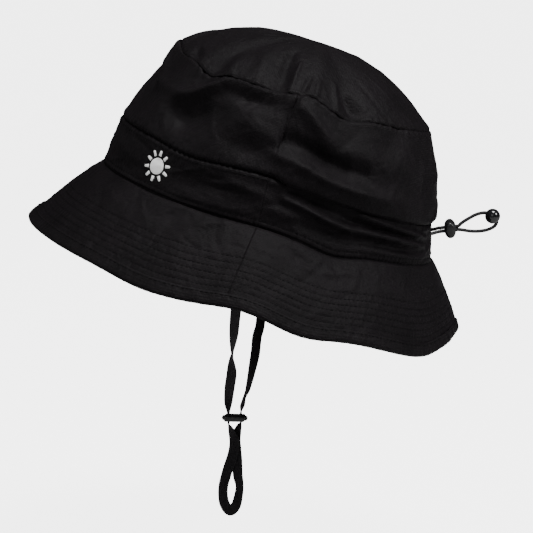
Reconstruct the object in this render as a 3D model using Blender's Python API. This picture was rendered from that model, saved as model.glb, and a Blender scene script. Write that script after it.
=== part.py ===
"""Soft bucket hat with a rear drawcord, a spring cord lock and a tape chin strap.

Units are metres and +Z is up. The hat sits as on a level head, its front, at -Y, pitched up and its back
down; +X is the wearer's left. The origin is the middle of the head opening.
Angles round the hat run from the front, 0 degrees, over the wearer's left, 90, to the back, 180.
"""

from math import cos, exp, pi, radians, sin

import bmesh
import bpy
from mathutils import Matrix, Vector

# ---- driving dimensions -------------------------------------------------------------------------------
PITCH = radians(16.8)             # how far the front is tipped up

# a seam line: half its length, half its width, height, extra height at the front, shift to the back
HEAD_SEAM = (0.0976, 0.0820, 0.0000, 0.0000, 0.0000)
TUCK_SEAM = (0.0925, 0.0785, 0.0265, 0.0016, -0.0020)
TIP_SEAM = (0.0742, 0.0638, 0.0710, 0.0012, 0.0000)
BRIM_EDGE = (0.1265, 0.1142, -0.0400, -0.0009, -0.0034)

# how each line waves: the wave's angle in degrees, its spread in degrees, its height
HEAD_WAVES = ((92, 16, 0.0020), (116, 9, -0.0028))
TUCK_WAVES = ((60, 12, -0.0020), (95, 18, 0.0030), (165, 20, -0.0030))
TIP_WAVES = ((0, 15, 0.0050), (48, 8, -0.0042), (95, 10, 0.0032), (112, 9, -0.0030))
BRIM_WAVES = (
    (0, 22, -0.0014), (70, 12, -0.0026), (94, 9, 0.0032), (111, 8, -0.0024), (145, 14, -0.0032),
    (176, 13, 0.0067), (152, 8, -0.0014), (-60, 14, -0.0025), (-95, 12, 0.0026), (-140, 15, -0.0030),
)

TIP_DOME = 0.0275                 # how far the tip panel stands above its seam
TIP_CURVE = 2.4                   # how flat the dome is on top and how steep at its seam
TIP_LEAN = 0.04                   # how much fuller the dome is at the back
CROWN_BULGE = 0.0022
CROWN_BACK_BULGE = 0.0012         # how much more the back of the crown swells than its front
BRIM_BULGE = 0.0018

CLOTH = 0.0007                    # one layer of shell cloth
LAYER_GAP = 0.0003
INTERLINING = 0.0004
TUCK_OVERHANG = 0.0016            # how far the crown's foot folds out over the band
BINDING_WIDTH = 0.0070
SWEATBAND = 0.0008
SWEATBAND_DEPTH = 0.0047          # from the band's outer face to the sweatband's
SWEATBAND_SHARES = (0.04, 0.50, 0.93)
LABEL_THICK = 0.0003
SEAM_EDGE = 0.3                   # degrees from a side seam to the edge of each panel beside it
BAND_EDGE = 0.4
TIP_SHEET = 1.4 * CLOTH

CORD = 0.0020                     # elastic drawcord diameter
CASING_END = 7.5                  # degrees from the back's middle to where a casing ends
CASING_DEPTH = CLOTH + LAYER_GAP + CORD / 2
CASING_RISE = 0.65                # height of the cord in the band, as a share of the band

LOCK_CENTRE = Vector((0.0010, 0.1032, -0.0101))
LOCK_PITCH = radians(7)           # how far the cord rises as it passes the lock
LOCK_ROLL = radians(-82)          # how far the lock is rolled round the cord, its foot to the wearer's left
LOCK_SECTION = (0.0047, 0.0033)   # half the lock's oval, across the strands and along the cord
LOCK_BORE = (0.00385, 0.00245)
LOCK_FOOT = -0.0052
LOCK_FLOOR = -0.0044
LOCK_RIM = 0.0023
BUTTON_TOP = 0.0050
BUTTON_THICK = 0.0015
STEM_SECTION = (0.0035, 0.00215)
STEM_FOOT = -0.0022
HOUSING_WINDOW = (-0.00145, 0.00145)
STEM_WINDOW = (-0.00145, 0.00255)
WINDOW_WIDTH = 0.0048
STRAND_OFFSET = 0.00105           # each strand's height above or below the lock's centre
SPRING_RADIUS = 0.0015
SPRING_WIRE = 0.00025
SPRING_TURNS = 2.5

BEAD_CENTRE = Vector((0.0010, 0.1270, -0.0027))
BEAD_RADIUS = 0.0043

TAPE_WIDTH = 0.0060
TAPE_THICK = 0.0010
SLIDER_CENTRE = Vector((0.0, -0.0196, -0.1229))
SLIDER_SIZE = Vector((0.0084, 0.0120, 0.0034))
SLIDER_SLOT = Vector((0.0072, 0.0023, 0.0080))
SLOT_OFFSET = 0.0036              # from the slider's middle to each slot's
KNOB_RADIUS = 0.0016

EMBLEM_ANGLE = radians(50)
EMBLEM_RISE = 0.52                # height of the emblem's middle, as a share of the band
EMBLEM_RADIUS = 0.0088
EMBLEM_CORE = 0.0052
EMBLEM_RAYS = 10
EMBLEM_THICK = 0.0006

SLICE = radians(7.5)              # angle between two ribs of a panel


# ---- scene, materials and the pitched frame of the hat ------------------------------------------------
for old in list(bpy.data.objects):
    bpy.data.objects.remove(old, do_unlink=True)

hat_frame = bpy.data.objects.new("hat_frame", None)
hat_frame.rotation_euler.x = -PITCH
bpy.context.scene.collection.objects.link(hat_frame)
HAT_TO_WORLD = Matrix.Rotation(-PITCH, 4, "X")

lock_frame = bpy.data.objects.new("lock_frame", None)
CORD_PITCH = Matrix.Rotation(LOCK_PITCH, 4, "X")
LOCK_TO_WORLD = Matrix.Translation(LOCK_CENTRE) @ CORD_PITCH @ Matrix.Rotation(LOCK_ROLL, 4, "Y")
lock_frame.matrix_world = LOCK_TO_WORLD
bpy.context.scene.collection.objects.link(lock_frame)


def material(name, colour, roughness, metallic=0.0):
    made = bpy.data.materials.new(name)
    made.use_nodes = True
    shader = made.node_tree.nodes["Principled BSDF"]
    shader.inputs["Base Color"].default_value = (*colour, 1.0)
    shader.inputs["Roughness"].default_value = roughness
    shader.inputs["Metallic"].default_value = metallic
    made.diffuse_color = (*colour, 1.0)
    return made


SHELL = material("black_shell_cloth", (0.016, 0.014, 0.017), 0.80)
INNER = material("black_inner_cloth", (0.012, 0.011, 0.013), 0.85)
STIFFENER = material("grey_interlining", (0.30, 0.30, 0.30), 0.90)
BINDING = material("black_binding_cloth", (0.020, 0.017, 0.021), 0.75)
ELASTIC = material("black_elastic_cord", (0.010, 0.010, 0.011), 0.60)
TAPE = material("black_tape", (0.014, 0.013, 0.015), 0.70)
LOCK_PLASTIC = material("black_plastic", (0.015, 0.015, 0.017), 0.35)
BEAD_PLASTIC = material("gloss_black_plastic", (0.010, 0.010, 0.012), 0.12)
STEEL = material("spring_steel", (0.60, 0.60, 0.62), 0.30, 1.0)
THREAD = material("white_thread", (0.85, 0.85, 0.84), 0.55)
LABEL_CLOTH = material("label_cloth", (0.80, 0.80, 0.78), 0.70)


# ---- seam lines and surfaces, in the hat's own frame --------------------------------------------------
def waved(waves, angle):
    """Height that the waves add at an angle, in radians."""
    total = 0.0
    for centre, spread, height in waves:
        away = (angle - radians(centre) + pi) % (2 * pi) - pi
        total += height * exp(-((away / radians(spread)) ** 2))
    return total


def seam(line, waves):
    """The seam line as a function of the angle round the hat."""
    half_length, half_width, height, front_rise, shift = line

    def at(angle):
        rise = height + front_rise * cos(angle) + waved(waves, angle)
        return Vector((half_width * sin(angle), shift - half_length * cos(angle), rise))

    return at


head_seam = seam(HEAD_SEAM, HEAD_WAVES)
tuck_seam = seam(TUCK_SEAM, TUCK_WAVES)
tip_seam = seam(TIP_SEAM, TIP_WAVES)
brim_edge = seam(BRIM_EDGE, BRIM_WAVES)


def wall(lower, upper, bulge=0.0, back_bulge=0.0):
    """A surface between two seam lines: a function of the angle, the share of the way up and the offset."""

    def spot(angle, share):
        low, high = lower(angle), upper(angle)
        out = Vector((sin(angle), -cos(angle), 0.0))
        swell = (bulge - back_bulge * cos(angle)) * 4 * share * (1 - share)
        return low.lerp(high, share) + out * swell

    def at(angle, share, offset=0.0):
        step = 0.002
        along = spot(angle + step, share) - spot(angle - step, share)
        up = spot(angle, share + step) - spot(angle, share - step)
        return spot(angle, share) + along.cross(up).normalized() * offset

    return at


band_wall = wall(head_seam, tuck_seam)
crown_wall = wall(tuck_seam, tip_seam, CROWN_BULGE, CROWN_BACK_BULGE)
brim_wall = wall(brim_edge, head_seam, BRIM_BULGE)


def tip_dome(angle, share, offset=0.0):
    """The domed tip panel: share 0 is its middle and 1 is its seam."""
    rim = tip_seam(angle)
    middle = Vector((0.0, 0.0, TIP_SEAM[2]))
    swell = TIP_DOME * (1 - share**TIP_CURVE) * (1 - TIP_LEAN * cos(angle) * share)
    return middle.lerp(rim, share) + Vector((0.0, 0.0, swell + offset))


# ---- mesh building ------------------------------------------------------------------------------------
def finish(name, mesh, finish_material, parent=None):
    made = bpy.data.objects.new(name, mesh)
    mesh.materials.append(finish_material)
    mesh.shade_smooth()
    mesh.set_sharp_from_angle(angle=radians(35))
    made.parent = parent
    bpy.context.scene.collection.objects.link(made)
    return made


def loft(name, rings, finish_material, parent=None, closed=False):
    """A closed skin over rings of equal length: the last ring joins the first, or both ends are capped."""
    shape = bmesh.new()
    rows = [[shape.verts.new(point) for point in ring] for ring in rings]
    pairs = list(zip(rows, rows[1:]))
    if closed:
        pairs.append((rows[-1], rows[0]))
    else:
        shape.faces.new(rows[0])
        shape.faces.new(rows[-1])
    for here, there in pairs:
        for i in range(len(here)):
            j = (i + 1) % len(here)
            shape.faces.new((here[i], here[j], there[j], there[i]))
    bmesh.ops.recalc_face_normals(shape, faces=shape.faces)
    mesh = bpy.data.meshes.new(name)
    shape.to_mesh(mesh)
    shape.free()
    return finish(name, mesh, finish_material, parent)


def spread(first, last, count):
    return [first + (last - first) * i / (count - 1) for i in range(count)]


def panel(name, surface, angles, shares, outer, thickness, finish_material, rows=4):
    """A sewn panel: the stretch of a surface between two angles, in degrees, and two shares."""
    start, end = radians(angles[0]), radians(angles[1])
    count = max(3, round(abs(end - start) / SLICE) + 1)
    heights = spread(shares[0], shares[1], rows + 1)
    rings = []
    for angle in spread(start, end, count):
        depth = outer(angle) if callable(outer) else outer
        front = [surface(angle, share, depth) for share in heights]
        back = [surface(angle, share, depth - thickness) for share in reversed(heights)]
        rings.append(front + back)
    return loft(name, rings, finish_material, hat_frame)


def hoop(name, surface, outline, finish_material, count=48):
    """A full ring whose section is an outline of (share, offset) pairs on a surface."""
    rings = []
    for i in range(count):
        angle = 2 * pi * i / count
        rings.append([surface(angle, share, offset) for share, offset in outline])
    return loft(name, rings, finish_material, hat_frame, closed=True)


def smooth_path(points, spacing):
    """Points about a spacing apart on a smooth curve through the given ones."""
    ends = [2 * points[0] - points[1]] + list(points) + [2 * points[-1] - points[-2]]
    path = []
    for before, here, there, after in zip(ends, ends[1:], ends[2:], ends[3:]):
        steps = max(1, round((there - here).length / spacing))
        for i in range(steps):
            t = i / steps
            path.append(
                0.5 * (2 * here + (there - before) * t
                       + (2 * before - 5 * here + 4 * there - after) * t**2
                       + (3 * here - before - 3 * there + after) * t**3)
            )
    path.append(points[-1])
    return path


def tube(name, points, radius, finish_material, sides=2, spacing=0.0045):
    """A round cord along a smooth curve through the points, in world metres."""
    path = smooth_path(points, spacing)
    curve = bpy.data.curves.new(name, "CURVE")
    curve.dimensions = "3D"
    curve.bevel_depth = radius
    curve.bevel_resolution = sides
    curve.use_fill_caps = True
    spline = curve.splines.new("POLY")
    spline.points.add(len(path) - 1)
    for point, place in zip(spline.points, path):
        point.co = (*place, 1.0)
    curve.materials.append(finish_material)
    made = bpy.data.objects.new(name, curve)
    bpy.context.scene.collection.objects.link(made)
    return made


def barrel(name, section, low, high, finish_material, parent, bevel=0.0, sides=28):
    """An upright bar with an oval section, given as half its two widths."""
    corners = [2 * pi * i / sides for i in range(sides)]
    rings = [[(section[0] * cos(turn), section[1] * sin(turn), height) for turn in corners] for height in (low, high)]
    made = loft(name, rings, finish_material, parent)
    if bevel:
        rounding = made.modifiers.new("rounding", "BEVEL")
        rounding.width = bevel
        rounding.segments = 2
        rounding.limit_method = "ANGLE"
    return made


def boolean(target, tool, operation="DIFFERENCE"):
    """Cuts or joins a shape that is itself left out of the part."""
    change = target.modifiers.new(tool.name, "BOOLEAN")
    change.operation = operation
    change.object = tool
    tool.hide_render = True
    tool.display_type = "WIRE"


def block(name, size, centre, finish_material, parent=None, bevel=0.0):
    shape = bmesh.new()
    bmesh.ops.create_cube(shape, size=1.0, matrix=Matrix.Diagonal((*size, 1.0)))
    mesh = bpy.data.meshes.new(name)
    shape.to_mesh(mesh)
    shape.free()
    made = finish(name, mesh, finish_material, parent)
    made.location = centre
    if bevel:
        rounding = made.modifiers.new("rounding", "BEVEL")
        rounding.width = bevel
        rounding.segments = 3
    return made


# ---- crown --------------------------------------------------------------------------------------------
HALVES = (("front", (-90 + SEAM_EDGE, 90 - SEAM_EDGE)), ("rear", (90 + SEAM_EDGE, 270 - SEAM_EDGE)))
CROWN_SHARES = (0.020, 0.985)
TIP_SHARES = (0.12, 0.34, 0.56, 0.76, 0.90, 0.985)
TIP_RIBS = 40


def crown_tip():
    """The tip: rings out from the middle on top and back to the middle underneath, with capped centres."""
    turns = [2 * pi * i / TIP_RIBS for i in range(TIP_RIBS)]
    above = [[tip_dome(turn, share) for turn in turns] for share in TIP_SHARES]
    below = [[tip_dome(turn, share, -TIP_SHEET) for turn in turns] for share in TIP_SHARES]
    loft("crown_tip", above + below[::-1], SHELL, hat_frame)


def crown_sides():
    """Two panels that meet at the side seams; their foot folds out over the band."""
    for half, angles in HALVES:
        panel(f"crown_side_{half}", crown_wall, angles, CROWN_SHARES, TUCK_OVERHANG, CLOTH, SHELL, rows=5)


# ---- band, casings and what is inside it --------------------------------------------------------------
BAND_SHARES = (0.03, 0.97)
BACKING = (164, 196)              # degrees between which the backing lies
BACKING_DEPTH = 0.0012            # at the middle of the back
BACKING_DROP = 0.0024             # how much deeper it lies under the casings
BACKING_FLAT = 2.0                # degrees each side of the middle over which it stays flat
LABEL = (172, 188)
LABEL_SHARES = (0.30, 0.86)


def backing_depth(angle):
    """The backing lies under the casings and comes out towards the middle of the back."""
    away = abs(angle - pi) * 180 / pi
    t = min(1.0, max(0.0, (away - BACKING_FLAT) / (CASING_END - 1.0 - BACKING_FLAT)))
    return -BACKING_DEPTH - BACKING_DROP * t * t * (3 - 2 * t)


def band():
    casing = 180 - CASING_END
    pieces = (
        ("band_front", (-90 + BAND_EDGE, 90 - BAND_EDGE)),
        ("band_rear_left", (90 + BAND_EDGE, casing)),
        ("band_rear_right", (360 - casing, 270 - BAND_EDGE)),
    )
    for name, angles in pieces:
        panel(name, band_wall, angles, BAND_SHARES, 0.0, CLOTH, SHELL, rows=3)
    panel("band_rear_backing", band_wall, BACKING, BAND_SHARES, backing_depth, CLOTH, INNER, rows=3)
    inner = SWEATBAND_DEPTH + SWEATBAND
    outline = [(share, -SWEATBAND_DEPTH) for share in SWEATBAND_SHARES]
    outline += [(share, -inner) for share in reversed(SWEATBAND_SHARES)]
    hoop("sweatband", band_wall, outline, INNER)
    label_depth = -inner - LAYER_GAP
    panel("care_label", band_wall, LABEL, LABEL_SHARES, label_depth, LABEL_THICK, LABEL_CLOTH, rows=1)


# ---- brim ---------------------------------------------------------------------------------------------
BRIM_SHARES = (0.035, 0.985)
BINDING_FOLD = 0.0012             # from the brim's edge to the inside of the binding's fold


def brim():
    """Top cloth, interlining and under cloth, each in two halves, with a binding round the edge."""
    depth = 0.0
    layers = (("brim_top", CLOTH, SHELL), ("brim_interlining", INTERLINING, STIFFENER), ("brim_under", CLOTH, INNER))
    for name, thickness, cloth in layers:
        for half, angles in HALVES:
            panel(f"{name}_{half}", brim_wall, angles, BRIM_SHARES, depth, thickness, cloth, rows=3)
        depth -= thickness + LAYER_GAP
    slant = (brim_edge(0.0) - head_seam(0.0)).length
    top, bottom = LAYER_GAP + CLOTH, depth - CLOTH
    lap, fold, floor = BINDING_WIDTH / slant, BINDING_FOLD / slant, 0.0
    outline = (
        (lap, top), (floor, top), (floor, bottom), (lap, bottom),
        (lap, depth), (fold, depth), (fold, LAYER_GAP), (lap, LAYER_GAP),
    )
    hoop("brim_edge_binding", brim_wall, outline, BINDING)


# ---- emblem -------------------------------------------------------------------------------------------
def emblem():
    """A plain rayed sun, worked in raised thread on the left front of the band."""
    slant = (tuck_seam(EMBLEM_ANGLE) - head_seam(EMBLEM_ANGLE)).length
    reach = head_seam(EMBLEM_ANGLE).xy.length

    def ring(scale, offset):
        points = []
        for i in range(4 * EMBLEM_RAYS):
            turn = 2 * pi * i / (4 * EMBLEM_RAYS)
            radius = (EMBLEM_RADIUS if i % 4 in (0, 1) else EMBLEM_CORE) * scale
            angle = EMBLEM_ANGLE + radius * sin(turn) / reach
            points.append(band_wall(angle, EMBLEM_RISE + radius * cos(turn) / slant, offset))
        return points

    low, high = LAYER_GAP, LAYER_GAP + EMBLEM_THICK
    loft("emblem", [ring(0.1, low), ring(1.0, low), ring(1.0, high), ring(0.1, high)], THREAD, hat_frame)


# ---- drawcord, bead and cord lock ---------------------------------------------------------------------
def casing_route(side):
    """The cord's run in a casing, from the side seam to near the casing's end."""
    turns = spread(100, 180 - CASING_END - 3.0, 12)
    return [HAT_TO_WORLD @ band_wall(radians(side * turn), CASING_RISE, -CASING_DEPTH) for turn in turns]


# each strand's way from its casing to the lock, and the loop beyond the lock with the bead on it
NECK_LEFT = [Vector(p) for p in (
    (0.0137, 0.0898, -0.0127), (0.0120, 0.0901, -0.0127), (0.0103, 0.0904, -0.0127), (0.0080, 0.0913, -0.0126),
    (0.0054, 0.0934, -0.0123), (0.0030, 0.0956, -0.0120), (0.0015, 0.0969, -0.0119), (0.0010, 0.0980, -0.0118),
)]
NECK_RIGHT = [Vector(p) for p in (
    (-0.0137, 0.0898, -0.0127), (-0.0120, 0.0901, -0.0127), (-0.0103, 0.0904, -0.0126), (-0.0078, 0.0916, -0.0123),
    (-0.0048, 0.0938, -0.0115), (-0.0018, 0.0958, -0.0105), (0.0002, 0.0968, -0.0099), (0.0009, 0.0977, -0.0098),
)]
LOOP_FAR = [Vector(p) for p in (
    (0.0010, 0.1095, -0.0069), (0.0010, 0.1132, -0.0044), (0.0010, 0.1177, -0.0019), (0.0010, 0.1222, -0.0008),
    (0.0010, 0.1257, -0.0015), (0.0010, 0.1286, -0.0036), (0.0010, 0.1294, -0.0060), (0.0010, 0.1281, -0.0084),
    (0.0010, 0.1247, -0.0103), (0.0010, 0.1201, -0.0113), (0.0010, 0.1150, -0.0114), (0.0010, 0.1105, -0.0108),
)]


def strand(height, along):
    """A point of a strand where it passes the lock: its height in the lock and its way along the cord."""
    return LOCK_CENTRE + CORD_PITCH @ Vector((0.0, along, height))


def loop_route():
    upper = [strand(STRAND_OFFSET, along) for along in (-0.0048, -0.002, 0.002, 0.0048)]
    lower = [strand(-STRAND_OFFSET, along) for along in (0.0048, 0.002, -0.002, -0.0048)]
    return upper + LOOP_FAR + lower


def drawcord():
    radius = CORD / 2
    tube("drawcord_channel_left", casing_route(1), radius, ELASTIC)
    tube("drawcord_channel_right", casing_route(-1), radius, ELASTIC)
    tube("drawcord_neck_left", NECK_LEFT, radius, ELASTIC, spacing=0.002)
    tube("drawcord_neck_right", NECK_RIGHT, radius, ELASTIC, spacing=0.002)
    tube("drawcord_loop", loop_route(), radius, ELASTIC, spacing=0.002)


def cord_bead():
    shape = bmesh.new()
    bmesh.ops.create_uvsphere(shape, u_segments=20, v_segments=12, radius=BEAD_RADIUS)
    mesh = bpy.data.meshes.new("cord_bead")
    shape.to_mesh(mesh)
    shape.free()
    bead = finish("cord_bead", mesh, BEAD_PLASTIC)
    bead.location = BEAD_CENTRE
    path = smooth_path(LOOP_FAR, 0.002)
    rings = []
    for before, here, after in zip(path, path[1:], path[2:]):
        across = Vector((1.0, 0.0, 0.0))
        up = across.cross(after - before).normalized()
        corners = [2 * pi * i / 10 for i in range(10)]
        rings.append([here + (across * cos(turn) + up * sin(turn)) * (CORD / 2 + LAYER_GAP) for turn in corners])
    boolean(bead, loft("bead_tunnel", rings, BEAD_PLASTIC))


def cord_window(name, low, high):
    """The cutter of the wide window that both strands pass through, side by side."""
    size = (WINDOW_WIDTH, 4 * LOCK_SECTION[1], high - low)
    return block(name, size, (0.0, 0.0, (low + high) / 2), LOCK_PLASTIC, lock_frame)


def cord_lock():
    """An oval barrel with a sprung plunger: its windows line up when the button is pressed."""
    housing = barrel("cord_lock_housing", LOCK_SECTION, LOCK_FOOT, LOCK_RIM, LOCK_PLASTIC, lock_frame, bevel=0.0007)
    boolean(housing, barrel("lock_bore", LOCK_BORE, LOCK_FLOOR, LOCK_RIM + 0.002, LOCK_PLASTIC, lock_frame))
    boolean(housing, cord_window("housing_window", *HOUSING_WINDOW))
    button_low = BUTTON_TOP - BUTTON_THICK
    button = barrel("cord_lock_plunger", LOCK_SECTION, button_low, BUTTON_TOP, LOCK_PLASTIC, lock_frame, bevel=0.0005)
    boolean(button, barrel("lock_stem", STEM_SECTION, STEM_FOOT, button_low + 0.0008, LOCK_PLASTIC, lock_frame), "UNION")
    boolean(button, cord_window("stem_window", *STEM_WINDOW))
    spring_low = LOCK_FLOOR + LAYER_GAP + SPRING_WIRE / 2
    spring_high = STEM_FOOT - LAYER_GAP - SPRING_WIRE / 2
    steps = round(10 * SPRING_TURNS)
    coil = []
    for i in range(steps + 1):
        turn = 2 * pi * SPRING_TURNS * i / steps
        height = spring_low + (spring_high - spring_low) * i / steps
        coil.append(LOCK_TO_WORLD @ Vector((SPRING_RADIUS * cos(turn), SPRING_RADIUS * sin(turn), height)))
    tube("cord_lock_spring", coil, SPRING_WIRE / 2, STEEL, sides=1, spacing=0.002)


# ---- chin strap and its slider ------------------------------------------------------------------------
# the tape's middle line from the left attachment through the slider, round the tail and back up to the right
# attachment, with the direction its face looks in: 0 degrees is +X and 90 is +Y
STRAP_ROUTE = (
    ((0.0744, -0.0076, 0.0010), 0), ((0.0744, -0.0082, -0.0050), 0), ((0.0715, -0.0092, -0.0140), 0),
    ((0.0620, -0.0112, -0.0270), 0), ((0.0490, -0.0135, -0.0445), 5), ((0.0400, -0.0155, -0.0585), 22),
    ((0.0341, -0.0166, -0.0679), 40), ((0.0274, -0.0178, -0.0781), 84), ((0.0227, -0.0187, -0.0852), 134),
    ((0.0172, -0.0197, -0.0936), 176), ((0.0104, -0.0214, -0.1020), 190), ((0.0020, -0.0229, -0.1110), 212),
    ((0.0000, -0.0232, -0.1155), 238), ((0.0000, -0.0232, -0.1195), 266), ((0.0000, -0.0232, -0.1229), 270),
    ((0.0000, -0.0231, -0.1265), 276), ((0.0006, -0.0217, -0.1300), 306), ((0.0012, -0.0200, -0.1350), 342),
    ((0.0012, -0.0199, -0.1400), 358), ((0.0010, -0.0212, -0.1460), 362), ((0.0006, -0.0232, -0.1520), 364),
    ((0.0003, -0.0248, -0.1575), 368), ((0.0001, -0.0264, -0.1640), 384), ((0.0000, -0.0266, -0.1700), 385),
    ((0.0000, -0.0256, -0.1750), 375), ((0.0000, -0.0226, -0.1790), 360), ((0.0000, -0.0192, -0.1758), 345),
    ((0.0000, -0.0176, -0.1700), 328), ((-0.0002, -0.0169, -0.1640), 324), ((-0.0006, -0.0180, -0.1570), 352),
    ((-0.0010, -0.0183, -0.1490), 360), ((-0.0012, -0.0189, -0.1418), 360), ((-0.0012, -0.0191, -0.1357), 342),
    ((-0.0006, -0.0176, -0.1300), 306), ((0.0000, -0.0160, -0.1265), 276), ((0.0000, -0.0160, -0.1229), 270),
    ((0.0000, -0.0160, -0.1192), 274), ((-0.0012, -0.0152, -0.1155), 300), ((-0.0036, -0.0145, -0.1122), 298),
    ((-0.0070, -0.0129, -0.1085), 306), ((-0.0106, -0.0119, -0.1040), 314), ((-0.0155, -0.0107, -0.0970), 326),
    ((-0.0205, -0.0094, -0.0887), 342), ((-0.0262, -0.0089, -0.0803), 348), ((-0.0310, -0.0074, -0.0734), 344),
    ((-0.0400, -0.0071, -0.0600), 350), ((-0.0510, -0.0074, -0.0430), 358), ((-0.0625, -0.0077, -0.0265), 360),
    ((-0.0715, -0.0078, -0.0140), 360), ((-0.0744, -0.0080, -0.0050), 360), ((-0.0744, -0.0076, 0.0010), 360),
)
TAPE_STEP = 0.0034                # spacing of the tape's sections


def smooth_path_turns():
    """The face direction at each point that smooth_path makes along the strap."""
    points = [Vector(point) for point, _ in STRAP_ROUTE]
    faces = [radians(face) for _, face in STRAP_ROUTE]
    turns = []
    for here, there, first, last in zip(points, points[1:], faces, faces[1:]):
        steps = max(1, round((there - here).length / TAPE_STEP))
        turns += [first + (last - first) * i / steps for i in range(steps)]
    return turns + [faces[-1]]


def chin_strap():
    """One continuous tape with a rectangular section that turns with the route's face direction."""
    places = smooth_path([Vector(point) for point, _ in STRAP_ROUTE], TAPE_STEP)
    turns = smooth_path_turns()
    rings = []
    for i, place in enumerate(places):
        ahead = places[min(i + 1, len(places) - 1)] - places[max(i - 1, 0)]
        facing = Vector((cos(turns[i]), sin(turns[i]), 0.0))
        across = ahead.cross(facing).normalized()
        face = across.cross(ahead).normalized()
        half_width, half_thick = across * TAPE_WIDTH / 2, face * TAPE_THICK / 2
        corners = ((1, 1), (-1, 1), (-1, -1), (1, -1))
        rings.append([place + half_width * a + half_thick * b for a, b in corners])
    loft("chin_strap", rings, TAPE)


def chin_slider():
    """A flat slider with a slot for each run of the tape and a knob at each end."""
    slider = block("chin_slider", SLIDER_SIZE, SLIDER_CENTRE, LOCK_PLASTIC, bevel=0.0010)
    for side in (-1, 1):
        place = SLIDER_CENTRE + Vector((0.0, side * SLIDER_SIZE.y / 2, 0.0))
        shape = bmesh.new()
        bmesh.ops.create_uvsphere(shape, u_segments=16, v_segments=10, radius=KNOB_RADIUS)
        mesh = bpy.data.meshes.new("slider_knob")
        shape.to_mesh(mesh)
        shape.free()
        knob = finish(f"slider_knob_{side + 1}", mesh, LOCK_PLASTIC)
        knob.location = place
        boolean(slider, knob, "UNION")
        slot_place = SLIDER_CENTRE + Vector((0.0, side * SLOT_OFFSET, 0.0))
        boolean(slider, block(f"slider_slot_{side + 1}", SLIDER_SLOT, slot_place, LOCK_PLASTIC))


crown_tip()
crown_sides()
band()
brim()
emblem()
drawcord()
cord_bead()
cord_lock()
chin_strap()
chin_slider()
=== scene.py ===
"""Looks of the bucket hat: sewn cloth with its folds, quilting and stitches, the elastic drawcord with its
lock and bead, and the chin strap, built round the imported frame. Units are metres.

Angles round the hat run from the front, 0, over the wearer's left, 90, to the back, 180 degrees.
A share is the way up a panel, from 0 at its lower seam to 1 at its upper one.
"""

from math import cos, pi, radians, sin, tau

import bmesh
import bpy
import numpy as np
from mathutils import Matrix, Vector


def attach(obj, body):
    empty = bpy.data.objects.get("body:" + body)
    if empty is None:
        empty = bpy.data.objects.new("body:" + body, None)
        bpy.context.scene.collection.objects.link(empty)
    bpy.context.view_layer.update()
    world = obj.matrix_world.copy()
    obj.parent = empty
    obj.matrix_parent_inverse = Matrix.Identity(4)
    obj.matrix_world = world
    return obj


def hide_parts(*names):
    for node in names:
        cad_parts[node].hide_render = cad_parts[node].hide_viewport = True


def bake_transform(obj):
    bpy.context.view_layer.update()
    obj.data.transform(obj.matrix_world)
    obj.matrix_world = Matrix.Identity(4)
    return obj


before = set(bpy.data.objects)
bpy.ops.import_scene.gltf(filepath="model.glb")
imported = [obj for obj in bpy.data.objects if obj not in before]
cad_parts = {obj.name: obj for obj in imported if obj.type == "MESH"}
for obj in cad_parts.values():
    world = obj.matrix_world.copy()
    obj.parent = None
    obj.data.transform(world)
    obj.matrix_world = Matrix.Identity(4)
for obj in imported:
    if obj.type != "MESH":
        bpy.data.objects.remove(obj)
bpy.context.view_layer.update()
MM = 0.001

# ---- sizes that the part states -----------------------------------------------------------------------
PITCH = radians(16.8)
HEAD_SEAM = (0.0976, 0.0820, 0.0000, 0.0000, 0.0000)
TUCK_SEAM = (0.0925, 0.0785, 0.0265, 0.0016, -0.0020)
TIP_SEAM = (0.0742, 0.0638, 0.0710, 0.0012, 0.0000)
BRIM_EDGE = (0.1265, 0.1142, -0.0400, -0.0009, -0.0034)
HEAD_WAVES = ((92, 16, 0.0020), (116, 9, -0.0028))
TUCK_WAVES = ((60, 12, -0.0020), (95, 18, 0.0030), (165, 20, -0.0030))
TIP_WAVES = ((0, 15, 0.0050), (48, 8, -0.0042), (95, 10, 0.0032), (112, 9, -0.0030))
BRIM_WAVES = (
    (0, 22, -0.0014), (70, 12, -0.0026), (94, 9, 0.0032), (111, 8, -0.0024), (145, 14, -0.0032),
    (176, 13, 0.0067), (152, 8, -0.0014), (-60, 14, -0.0025), (-95, 12, 0.0026), (-140, 15, -0.0030),
)
TIP_DOME = 0.0275
TIP_CURVE = 2.4
TIP_LEAN = 0.04
CROWN_BULGE = 0.0022
CROWN_BACK_BULGE = 0.0012
BRIM_BULGE = 0.0018
CASING_END = 7.5
CASING_RISE = 0.65
CORD = 0.0020
LOCK_CENTRE = Vector((0.0010, 0.1032, -0.0101))
LOCK_PITCH = radians(7)
LOCK_ROLL = radians(-82)
LOCK_SECTION = (0.0047, 0.0033)
LOCK_BORE = (0.00385, 0.00245)
STEM_SECTION = (0.0035, 0.00215)
WINDOW_WIDTH = 0.0048
STRAND_OFFSET = 0.00105
BEAD_CENTRE = Vector((0.0010, 0.1270, -0.0027))
BEAD_RADIUS = 0.0043
TAPE_WIDTH = 0.0060
TAPE_THICK = 0.0009
SLIDER_CENTRE = Vector((0.0, -0.0196, -0.1229))
SLOT_OFFSET = 0.0036
SLIDER_SIZE = (0.0084, 0.0120, 0.0034)
KNOB_RADIUS = 0.0016
EMBLEM_ANGLE = radians(50)
EMBLEM_RISE = 0.52
EMBLEM_RADIUS = 0.0088
EMBLEM_CORE = 0.0046

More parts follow.
